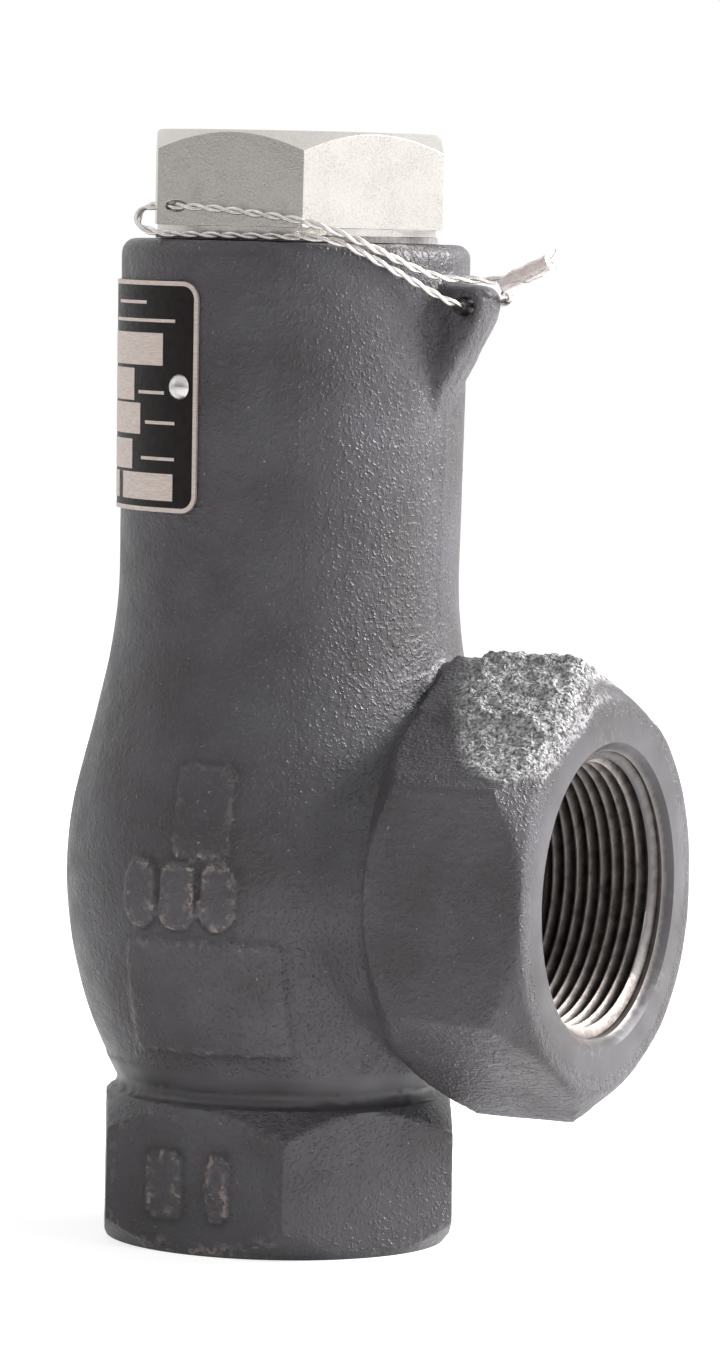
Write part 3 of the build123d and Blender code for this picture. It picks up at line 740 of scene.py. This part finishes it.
def thread_column(form, side, root_radius, length):
    """One side's line of points down a threaded sleeve, from its outer edge at the mouth and back."""
    rooted = form.verts.layers.float["root"]
    coned = form.verts.layers.float["cone"]
    angle = 2 * pi * side / thread_sides

    def ring_point(radius, along):
        return form.verts.new((radius * cos(angle), radius * sin(angle), along))

    column = [ring_point(root_radius + liner_wall, 0)]
    for turn in range(-1, ceil(length / thread_pitch) + 1):
        for phase, _ in thread_profile:
            along = max(0.0, min(length, (turn + phase + side / thread_sides) * thread_pitch))
            height = thread_height((along / thread_pitch - side / thread_sides + rounding) % 1)
            thread_radius = root_radius - along * thread_taper - height * thread_depth
            cone_radius = root_radius - along
            vert = ring_point(max(thread_radius, cone_radius), along)
            vert[rooted] = 1.0 - height
            vert[coned] = float(cone_radius > thread_radius)
            column.append(vert)
    column.append(ring_point(root_radius + liner_wall, length))
    return column


def thread_skin(form, columns):
    """The faces between a sleeve's columns, which meet one turn further on after a whole round."""
    for side, column in enumerate(columns):
        following = columns[(side + 1) % thread_sides]
        shift = len(thread_profile) if side == thread_sides - 1 else 0
        for row in range(1, len(column) - 2 - shift):
            ahead = row + shift
            form.faces.new((column[row], following[ahead], following[ahead + 1], column[row + 1]))
        form.faces.new((column[0], following[0], following[1], column[1]))
        form.faces.new((column[-2], following[-2], following[-1], column[-1]))
        form.faces.new((column[-1], following[-1], following[0], column[0]))


def thread_liner(name, root_radius, length, place):
    """A thin threaded sleeve along +Z from its mouth, its roots on a bore's wall, set in place."""
    form = bmesh.new()
    for label in ("root", "cone"):
        form.verts.layers.float.new(label)
    thread_skin(form, [thread_column(form, side, root_radius, length) for side in range(thread_sides)])
    bmesh.ops.remove_doubles(form, verts=form.verts, dist=weld)
    bmesh.ops.delete(form, geom=[vert for vert in form.verts if not vert.link_faces], context="VERTS")
    bmesh.ops.recalc_face_normals(form, faces=form.faces)
    form.transform(place)
    mesh = bpy.data.meshes.new(name)
    form.to_mesh(mesh)
    form.free()
    mesh.materials.append(cut_iron)
    liner = smooth(new_piece(name, mesh), angle=28)
    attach(liner, "valve_body")


thread_crest = (0.50, 0.455, 0.43)
thread_dark_and_root_shade = (0.042, 0.033, 0.030)
cone_paint = (0.11, 0.108, 0.115)
thread_metallic = 0.85
cone_duller = 0.7
root_spread = 0.8
cut_iron, tree, shader, place = painted("cut_iron", thread_crest)
cone = stored(tree, "cone")
# Shade is painted into the roots, along with oil and dust: the deeper a point lies, the darker it is.
rootward = maths(tree, "POWER", stored(tree, "root"), root_spread)
root_shade_and_dirt = maths(tree, "MULTIPLY", rootward, mottle(tree, place, 3, low=0.8))
tone = tinted(tree, mottle(tree, place, 2.2, high=0.5, first=0.45, last=0.7), thread_crest, thread_dark_and_root_shade)
tone = tinted(tree, cone, tinted(tree, root_shade_and_dirt, tone, thread_dark_and_root_shade), cone_paint)
tree.links.new(tone, shader.inputs["Base Color"])
metallic = maths(tree, "SUBTRACT", thread_metallic, maths(tree, "MULTIPLY", cone, cone_duller))
tree.links.new(metallic, shader.inputs["Metallic"])
tree.links.new(mottle(tree, place, 1.2, low=0.42, high=0.6), shader.inputs["Roughness"])
dented(tree, shader, mottle(tree, place, 0.5), depth=0.03, strength=0.6)
outlet_mouth_plane = outlet_face - (outlet_mouth - outlet_thread)
outlet_place = Matrix.Translation((outlet_mouth_plane, 0, outlet_axis_height))
thread_liner(
    "outlet_thread",
    root_radius=outlet_thread,
    length=outlet_mouth_plane - outlet_thread_start + liner_tuck,
    place=outlet_place @ Matrix.Rotation(-pi / 2, 4, "Y"),
)
inlet_mouth_plane = 1.0 * MM
thread_liner(
    "inlet_thread",
    root_radius=inlet_thread,
    length=inlet_thread_end - inlet_mouth_plane + liner_tuck,
    place=Matrix.Translation((0, 0, inlet_mouth_plane)),
)


# Nozzle, disc holder, washer, screw, stem, cross pin and clip: stainless bar, turned and polished
# where they seal or slide. They keep the shapes of the frame and get a turned finish.
stained_share = 0.72
finest_turning = 0.8
coarsest_turning = 1.3


def turned_metal(name, colour, roughness, groove):
    """A lathe-turned metal with fine grooves round the valve's axis and a slight stain."""
    material, tree, shader, place = painted(name, colour, roughness, metallic=1.0)
    parts = node(tree, "ShaderNodeSeparateXYZ", {0: place}).outputs
    flat = node(tree, "ShaderNodeCombineXYZ", {0: parts[0], 1: parts[1]}).outputs[0]
    radius = node(tree, "ShaderNodeVectorMath", {0: flat}, operation="LENGTH").outputs["Value"]
    lathe = node(tree, "ShaderNodeCombineXYZ", {0: radius, 1: parts[2]}).outputs[0]
    stain = tuple(stained_share * channel for channel in colour)
    tone = tinted(tree, mottle(tree, place, 7, high=0.6), colour, stain)
    tree.links.new(tone, shader.inputs["Base Color"])
    gloss = mottle(tree, lathe, 2 * groove, finest_turning * roughness, coarsest_turning * roughness)
    tree.links.new(gloss, shader.inputs["Roughness"])
    dented(tree, shader, mottle(tree, lathe, groove, detail=2), depth=0.02, strength=0.6)
    return material


def finished(material, *node_names):
    """Give frame pieces a material in every slot."""
    for name in node_names:
        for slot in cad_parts[name].material_slots:
            slot.material = material


stainless = turned_metal("turned_stainless", colour=(0.62, 0.60, 0.57), roughness=0.26, groove=0.25)
finished(stainless, "nozzle", "disc_holder", "disc_washer", "disc_screw", "stem", "stem_pin", "stem_clip")


# Seat disc: a moulded disc of off-white plastic that shuts on the nozzle's lip. It lies in the
# holder, and the washer and its screw clamp it there.
seat_white = (0.66, 0.63, 0.56)
seat_yellowed = (0.55, 0.51, 0.44)


def patchy(name, under, over, patch, gloss_patch, smoothest, roughest, metallic=0.0, stretch=None):
    """A material in two tones and from smooth to rough, each in patches of a size in millimetres."""
    material, tree, shader, place = painted(name, under, roughest, metallic)
    if stretch:
        place = node(tree, "ShaderNodeVectorMath", {0: place, 1: stretch}, operation="MULTIPLY").outputs[0]
    tree.links.new(tinted(tree, mottle(tree, place, patch), under, over), shader.inputs["Base Color"])
    tree.links.new(mottle(tree, place, gloss_patch, smoothest, roughest), shader.inputs["Roughness"])
    return material, tree, shader, place


soft_seat, tree, shader, place = patchy(
    "soft_seat", seat_white, seat_yellowed, patch=5, gloss_patch=1.5, smoothest=0.34, roughest=0.52
)
dented(tree, shader, mottle(tree, place, 0.6), depth=0.02, strength=0.5)
finished(soft_seat, "seat_disc")


# Guide sleeve: a flanged bush turned from bronze. It is pressed into the partition between the
# outlet's chamber and the spring housing, and guides the stem.
bronze = turned_metal("turned_bronze", colour=(0.58, 0.37, 0.18), roughness=0.3, groove=0.3)
finished(bronze, "guide_sleeve")


# Spring plates, ball and gland: plain turned steel, the ball hardened and polished. The plates hold
# the spring's ends, and the gland is screwed down over the ball to set the valve's pressure.
plain_steel = turned_metal("turned_steel", colour=(0.42, 0.41, 0.40), roughness=0.34, groove=0.35)
finished(plain_steel, "lower_spring_plate", "upper_spring_plate", "adjusting_gland")
ball_steel = turned_metal("ball_steel", colour=(0.70, 0.70, 0.71), roughness=0.1, groove=1.5)
finished(ball_steel, "thrust_ball")


# Spring: round steel wire wound with closed end coils that are ground flat, and blued by heat. It is
# made as a lower and an upper half, because lift squeezes it from below and the gland from above.
spring_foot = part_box("spring")[0][2]
spring_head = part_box("spring")[1][2]
spring_wire = 2.1 * MM
spring_radius = 15.5 * MM
spring_active_coils = 4
spring_half_turns = 3
spring_end_pitch = 2.08 * spring_wire
spring_pitch = (spring_head - spring_foot - 2 * spring_end_pitch) / spring_active_coils
spring_steps = 48
spring_sides = 20
lift_travel = 5.0 * MM
seat_travel = 4.5 * MM


def spring_height(turn):
    """The wire's height after some turns from the spring's foot."""
    active = max(0.0, min(spring_active_coils, turn - 1))
    return spring_foot + (turn - active) * spring_end_pitch + active * spring_pitch


def wound(name, first_turn, last_turn):
    """A curve along the spring's wire from one turn to another."""
    count = round((last_turn - first_turn) * spring_steps)
    curve = bpy.data.curves.new(name, "CURVE")
    curve.dimensions = "3D"
    line = curve.splines.new("POLY")
    line.points.add(count)
    for step, point in enumerate(line.points):
        turn = first_turn + step / spring_steps
        angle = 2 * pi * turn
        point.co = (spring_radius * cos(angle), spring_radius * sin(angle), spring_height(turn), 1)
    return new_piece(name, curve)


blued_dark = (0.11, 0.11, 0.12)
blued_brown = (0.20, 0.185, 0.17)
spring_steel, tree, shader, place = patchy(
    "spring_steel",
    blued_dark,
    blued_brown,
    patch=6,
    gloss_patch=2,
    smoothest=0.26,
    roughest=0.42,
    metallic=0.9,
)
dented(tree, shader, mottle(tree, place, 0.7), depth=0.02, strength=0.5)
coil_values = {"Wire Radius": spring_wire, "Foot": spring_foot, "Head": spring_head}
for half, first_turn, squeezed_by, travel in (
    ("spring_lower", 0, "disc_lift", lift_travel),
    ("spring_upper", spring_half_turns, "spring_seat_travel", seat_travel),
):
    coil_tree, given = growing_tree(half + "_coil", coil_values)
    round_wire = {"Resolution": spring_sides, "Radius": given["Wire Radius"]}
    ring = node(coil_tree, "GeometryNodeCurvePrimitiveCircle", round_wire).outputs[0]
    swept = node(
        coil_tree,
        "GeometryNodeCurveToMesh",
        {"Curve": given["Geometry"], "Profile Curve": ring, "Fill Caps": True},
    ).outputs[0]
    position = node(coil_tree, "GeometryNodeInputPosition").outputs[0]
    x, y, z = node(coil_tree, "ShaderNodeSeparateXYZ", {0: position}).outputs
    over_foot = maths(coil_tree, "MAXIMUM", z, given["Foot"])
    between = maths(coil_tree, "MINIMUM", over_foot, given["Head"])
    ground = node(coil_tree, "ShaderNodeCombineXYZ", {0: x, 1: y, 2: between}).outputs[0]
    cut_flat = node(coil_tree, "GeometryNodeSetPosition", {"Geometry": swept, "Position": ground})
    wire_path = wound(half, first_turn, first_turn + spring_half_turns)
    coil = grown(wire_path, coil_tree, cut_flat.outputs[0], spring_steel, coil_values)
    smooth(coil, angle=40)
    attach(coil, "valve_body")
    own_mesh(coil)
    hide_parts("spring")


# Gasket: a flat ring punched from grey fibre sheet. It is squeezed between the cap's collar and the
# housing's rim, and only its edge shows.
fibre_dark = (0.26, 0.25, 0.245)
fibre_pale = (0.40, 0.39, 0.38)
fibre, tree, shader, place = painted("fibre", fibre_pale, roughness=0.8)
tone = tinted(tree, mottle(tree, place, 0.8), fibre_dark, fibre_pale)
tree.links.new(tone, shader.inputs["Base Color"])
dented(tree, shader, mottle(tree, place, 0.5), depth=0.05, strength=0.6)
finished(fibre, "cap_gasket")


# Cap: hexagon bar turned and bored, plated with zinc, which has dulled and stained in patches. It
# screws into the housing's top and hides the adjuster.
cap_edge = 0.4 * MM
cap_flat_angle = radians(1)
cap_edge_angle = radians(25)
cap_grain = 0.35
zinc_pale = (0.76, 0.732, 0.70)
zinc_dull = (0.71, 0.674, 0.636)
zinc_stain = (0.40, 0.355, 0.31)
zinc, tree, shader, place = painted("zinc_plate", zinc_pale, metallic=0.9)
cloud = mottle(tree, place, 11, high=0.45, first=0.3, last=0.75, detail=4)
tone = tinted(tree, cloud, zinc_pale, zinc_dull)
blotted = mottle(tree, place, 12, high=0.45, first=0.5, last=0.6)
blots = maths(tree, "MULTIPLY", mottle(tree, place, 3.2, high=0.8, first=0.58, last=0.78), blotted)
tone = tinted(tree, blots, tone, zinc_stain)
crystals = mottle(tree, place, cap_grain, high=0.28, first=0.45, last=0.7, detail=1)
tone = tinted(tree, crystals, tone, zinc_stain)
tree.links.new(tone, shader.inputs["Base Color"])
gloss = mottle(tree, place, 6, low=0.24, high=0.32, first=0.2, last=0.8, detail=2)
tree.links.new(gloss, shader.inputs["Roughness"])
dented(tree, shader, mottle(tree, place, cap_grain, detail=1), depth=0.04, strength=0.25)
cap = joined_copy("cap", "sealed_cap")
form = bmesh.new()
form.from_mesh(cap.data)
bmesh.ops.dissolve_limit(form, angle_limit=cap_flat_angle, verts=form.verts, edges=form.edges)
form.to_mesh(cap.data)
form.free()
rounded = cap.modifiers.new("rounded", "BEVEL")
rounded.width = cap_edge
rounded.segments = 2
rounded.limit_method = "ANGLE"
rounded.angle_limit = cap_edge_angle
made_plain(cap)
smooth(cap, angle=24)
cap.modifiers.new("even_faces", "WEIGHTED_NORMAL").keep_sharp = True
made_plain(cap)
cap.data.materials.clear()
cap.data.materials.append(zinc)
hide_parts("cap")
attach(cap, "valve_body")


# Rating plate: thin aluminium with a black etched ground and bare fields and rules in relief, cut
# flat, bent round the housing and held by two drive screws. It carries no words or figures.
plate_width = 51.0 * MM
plate_foot, plate_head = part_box("nameplate")[0][2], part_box("nameplate")[1][2]
plate_height = plate_head - plate_foot
plate_sheet = 0.42 * MM
plate_relief = 0.08 * MM
plate_corner = 3.0 * MM
plate_border = 0.75 * MM
plate_angle = radians(-143.5)
plate_bend_radius = 29.656 * MM
plate_back_radius = 29.156 * MM
housing_draft = radians(0.72)
plate_strip = 1.5 * MM
corner_steps = 8
field_left = -9.0
rule_height = 0.55

# Fields as left, right, foot and head, and rules as left, right and foot, in millimetres from the
# middle of the plate's foot.
plate_fields = [
    (field_left, 18.0, 24.4, 29.8),
    (field_left, 9.6, 18.4, 23.8),
    (field_left, 11.8, 12.8, 18.0),
    (field_left, 9.0, 6.9, 11.9),
    (4.7, 20.6, 1.9, 6.4),
    (-12.5, 2.2, 1.9, 6.4),
]
plate_rules = [
    (2.0, 13.5, 34.6),
    (-12.0, 20.8, 31.6),
    (11.2, 18.4, 19.6),
    (13.4, 20.9, 14.6),
    (12.2, 20.9, 8.6),
    (-20.5, -11.5, 26.0),
    (-20.5, -11.5, 20.0),
    (-20.5, -11.5, 14.4),
    (-20.5, -11.5, 8.4),
]
plate_fields += [(left, right, foot, foot + rule_height) for left, right, foot in plate_rules]


def plate_outline(inset):
    """The corners of the plate's rounded outline, moved inwards, as across and up."""
    corner = plate_corner - inset
    points = []
    for turn, (side, end) in enumerate(((1, 1), (-1, 1), (-1, -1), (1, -1))):
        middle_x = side * (plate_width / 2 - plate_corner)
        middle_y = plate_height / 2 + end * (plate_height / 2 - plate_corner)
        for step in range(corner_steps + 1):
            angle = pi / 2 * (turn + step / corner_steps)
            points.append((middle_x + corner * cos(angle), middle_y + corner * sin(angle)))
    return points


form = bmesh.new()
outer = [form.verts.new((x, y, 0)) for x, y in plate_outline(0)]
inner = [form.verts.new((x, y, 0)) for x, y in plate_outline(plate_border)]
form.faces.new(inner)
for index in range(len(outer)):
    after = (index + 1) % len(outer)
    form.faces.new((outer[index], outer[after], inner[after], inner[index]))
lines = [((x * MM, 0, 0), (1, 0, 0)) for left, right, _, _ in plate_fields for x in (left, right)]
lines += [((0, y * MM, 0), (0, 1, 0)) for _, _, foot, head in plate_fields for y in (foot, head)]
strips = ceil(plate_width / plate_strip)
lines += [((plate_width * (step / strips - 0.5), 0, 0), (1, 0, 0)) for step in range(1, strips)]
for spot, across in sorted(set(lines)):
    everything = [*form.verts, *form.edges, *form.faces]
    bmesh.ops.bisect_plane(form, geom=everything, dist=weld, plane_co=spot, plane_no=across)


def is_silver(centre):
    """Whether a spot of the flat plate lies on its border, a field or a rule."""
    for left, right, foot, head in plate_fields:
        if left * MM < centre.x < right * MM and foot * MM < centre.y < head * MM:
            return True
    side = abs(centre.x) - (plate_width / 2 - plate_corner)
    end = abs(centre.y - plate_height / 2) - (plate_height / 2 - plate_corner)
    reach = sqrt(max(side, 0) ** 2 + max(end, 0) ** 2)
    return max(reach, side, end) > plate_corner - plate_border


def lifted(faces, height, keep_under):
    """Pull flat faces up by a height, with walls round them, and give back the new faces."""
    pulled = bmesh.ops.extrude_face_region(form, geom=faces, use_keep_orig=keep_under)["geom"]
    tops = [item for item in pulled if isinstance(item, bmesh.types.BMFace)]
    bmesh.ops.translate(form, verts=list({v for face in tops for v in face.verts}), vec=(0, 0, height))
    return tops


# The black ground is the sheet's own top, and what stands over it is bare, as the walls and back are.
tops = lifted(form.faces[:], plate_sheet, keep_under=True)
silver_faces = [face for face in tops if is_silver(face.calc_center_median())]
lifted(silver_faces, plate_relief, keep_under=False)
bmesh.ops.delete(form, geom=silver_faces, context="FACES")
for face in form.faces:
    off_ground = abs(face.calc_center_median().z - plate_sheet)
    face.material_index = 0 if off_ground > plate_relief / 4 else 1
bmesh.ops.recalc_face_normals(form, faces=form.faces)
for vert in form.verts:
    angle = plate_angle + vert.co.x / plate_bend_radius
    radius = plate_back_radius + vert.co.y * tan(housing_draft) + vert.co.z
    vert.co = (radius * cos(angle), radius * sin(angle), plate_foot + vert.co.y)
mesh = bpy.data.meshes.new("rating_plate")
form.to_mesh(mesh)
form.free()
plate = smooth(new_piece("rating_plate", mesh), angle=20)
plate_bright = (0.84, 0.735, 0.68)
plate_dull = (0.70, 0.60, 0.55)
plate_bare = patchy(
    "bare_aluminium",
    plate_bright,
    plate_dull,
    patch=2.0,
    gloss_patch=0.9,
    smoothest=0.36,
    roughest=0.5,
    metallic=0.5,
    stretch=(1.0, 1.0, 8.0),
)[0]
etch_black = (0.007, 0.006, 0.006)
etch_brown = (0.015, 0.012, 0.011)
etch_shine = 0.2
plate_black, _, shader, _ = patchy(
    "etched_black", etch_black, etch_brown, patch=1.5, gloss_patch=0.7, smoothest=0.32, roughest=0.5
)
shader.inputs["Specular IOR Level"].default_value = etch_shine
mesh.materials.append(plate_bare)
mesh.materials.append(plate_black)
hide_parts("nameplate")
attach(plate, "valve_body")


# Drive screws: two round-head screws of hardened steel. They are hammered through the plate into
# holes in the casting, and hold by friction.
screw_steel = turned_metal("drive_screw_steel", colour=(0.72, 0.71, 0.69), roughness=0.24, groove=0.6)
finished(screw_steel, "nameplate_screws")


# Seal wire: two tinned wires twisted together, led from the cap's corner hole to the lug and into the
# ferrule, so that nobody can turn the cap without breaking the seal.
strand_radius = 0.36 * MM
strand_offset = 0.34 * MM
strand_sides = 8
strand_step = 0.3 * MM
wire_lay = 7.6 * MM
wire_route = (
    (46.4, 0.0, 167.3),
    (42.0, 0.0, 165.35),
    (37.8, -0.2, 163.75),
    (34.6, -3.0, 164.0),
    (31.7, -7.0, 163.95),
    (28.6, -11.9, 165.6),
    (24.5, -18.3, 168.8),
    (20.6, -21.6, 171.0),
    (17.3, -23.9, 172.3),
    (13.6, -25.2, 173.3),
    (4.2, -24.65, 174.3),
    (-4.0, -24.65, 175.0),
    (-9.0, -24.6, 175.1),
    (-13.0, -22.3, 175.1),
    (-17.1, -19.9, 175.1),
    (-18.6, -20.9, 174.3),
    (-18.0, -23.2, 172.6),
    (-15.9, -25.0, 171.2),
    (-12.5, -25.2, 170.5),
    (-6.5, -24.7, 170.42),
    (1.0, -24.75, 170.42),
    (7.5, -24.65, 170.42),
    (13.0, -24.5, 170.42),
    (17.0, -23.1, 170.3),
    (20.5, -21.5, 169.5),
    (24.0, -18.8, 167.3),
    (27.5, -14.1, 164.5),
    (30.4, -9.6, 161.9),
    (32.9, -6.6, 160.0),
    (34.2, -2.5, 159.5),
    (34.2, 3.2, 159.5),
    (34.9, 6.4, 159.8),
    (37.2, 6.6, 160.4),
    (38.7, 3.9, 161.2),
    (38.75, 0.1, 162.4),
    (42.0, 0.0, 163.85),
    (46.9, 0.0, 166.1),
)


def routed(name, points):
    """A curve of one smooth open spline along points in millimetres."""
    curve = bpy.data.curves.new(name, "CURVE")
    curve.dimensions = "3D"
    line = curve.splines.new("NURBS")
    line.points.add(len(points) - 1)
    for control, place in zip(line.points, points):
        control.co = (*(Vector(place) * MM), 1)
    line.order_u = 3
    line.use_endpoint_u = True
    return new_piece(name, curve)


wire_values = {
    "Step": strand_step,
    "Lay": wire_lay,
    "Strand Radius": strand_radius,
    "Strand Offset": strand_offset,
}
wire_tree, given = growing_tree("twisted_wire", wire_values)
even_steps = {"Curve": given["Geometry"], "Length": given["Step"]}
even = node(wire_tree, "GeometryNodeResampleCurve", even_steps, mode="LENGTH").outputs[0]
run = node(wire_tree, "GeometryNodeSplineParameter").outputs["Length"]
turns = maths(wire_tree, "DIVIDE", run, given["Lay"])
twist = maths(wire_tree, "MULTIPLY", turns, 2 * pi)
turned_curve = node(wire_tree, "GeometryNodeSetCurveTilt", {"Curve": even, "Tilt": twist}).outputs[0]
round_strand = {"Resolution": strand_sides, "Radius": given["Strand Radius"]}
strand = node(wire_tree, "GeometryNodeCurvePrimitiveCircle", round_strand).outputs[0]
pair = node(wire_tree, "GeometryNodeJoinGeometry")
for way in (1.0, -1.0):
    beside = maths(wire_tree, "MULTIPLY", given["Strand Offset"], way)
    aside = node(wire_tree, "ShaderNodeCombineXYZ", {0: beside}).outputs[0]
    placed = node(wire_tree, "GeometryNodeTransform", {"Geometry": strand, "Translation": aside})
    wire_tree.links.new(placed.outputs[0], pair.inputs[0])
strands = node(
    wire_tree,
    "GeometryNodeCurveToMesh",
    {"Curve": turned_curve, "Profile Curve": pair.outputs[0], "Fill Caps": True},
).outputs[0]
tin_bright = (0.90, 0.87, 0.85)
tin_dull = (0.66, 0.63, 0.60)
tinned = patchy(
    "tinned_wire",
    tin_bright,
    tin_dull,
    patch=1.4,
    gloss_patch=0.8,
    smoothest=0.22,
    roughest=0.44,
    metallic=0.95,
)[0]
wire = grown(routed("twisted_seal_wire", wire_route), wire_tree, strands, tinned, wire_values)
smooth(wire, angle=60)
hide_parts("seal_wire")
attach(wire, "valve_body")


# Ferrule: a short soft aluminium sleeve, squeezed flat on the wire's two ends with the sealing
# pliers, whose jaws leave three dents. The tails of the strands stick out beyond it.
ferrule_grid = 0.14 * MM
ferrule_rise = radians(24.3)
ferrule_rounds = 3
crimp_depth = 0.11
crimp_count = 3
ferrule = joined_copy("seal_ferrule", "crimped_ferrule")
gridded(ferrule, ferrule_grid)
points = [Vector(vertex.co) for vertex in ferrule.data.vertices]
middle = sum(points, Vector()) / len(points)
along = Vector((cos(ferrule_rise), 0, sin(ferrule_rise)))
reach = max((point - middle).dot(along) for point in points)
for vertex in ferrule.data.vertices:
    offset = vertex.co - middle
    run = offset.dot(along)
    dent = 0.5 + 0.5 * cos(2 * pi * crimp_count * (run / (2 * reach) + 0.5) + pi)
    vertex.co -= (offset - along * run) * crimp_depth * dent
softened(ferrule, {vertex.index: ferrule_rounds for vertex in ferrule.data.vertices})
smooth(ferrule, angle=60)
ferrule_pale = (0.93, 0.84, 0.82)
ferrule_dull = (0.86, 0.75, 0.73)
soft_metal, tree, shader, place = patchy(
    "ferrule_aluminium",
    ferrule_pale,
    ferrule_dull,
    patch=1.6,
    gloss_patch=0.9,
    smoothest=0.3,
    roughest=0.5,
    metallic=0.4,
)
dented(tree, shader, mottle(tree, place, 0.5), depth=0.03, strength=0.25)
ferrule.data.materials.clear()
ferrule.data.materials.append(soft_metal)
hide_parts("seal_ferrule")
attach(ferrule, "valve_body")
tail_radius = 0.13 * MM
tail_routes = (
    ((41.2, -0.9, 163.5), (43.8, -1.3, 163.9), (46.2, -1.1, 165.0), (48.3, -0.6, 166.6)),
    ((42.4, -0.9, 164.0), (44.4, -1.5, 163.5), (45.6, -1.2, 164.4), (47.4, -1.3, 164.9)),
    ((46.9, 0.1, 167.2), (48.0, 0.4, 167.9), (48.5, 0.9, 168.9), (48.3, 1.0, 169.4)),
    ((46.8, -0.1, 166.8), (48.0, -0.3, 167.1), (48.7, -0.2, 167.0), (49.0, 0.3, 166.2)),
)
for count, route in enumerate(tail_routes, 1):
    tail = routed(f"wire_tail_{count}", route)
    tail.data.bevel_depth = tail_radius
    tail.data.bevel_resolution = 2
    tail.data.use_fill_caps = True
    tail.data.materials.append(tinned)
    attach(tail, "valve_body")
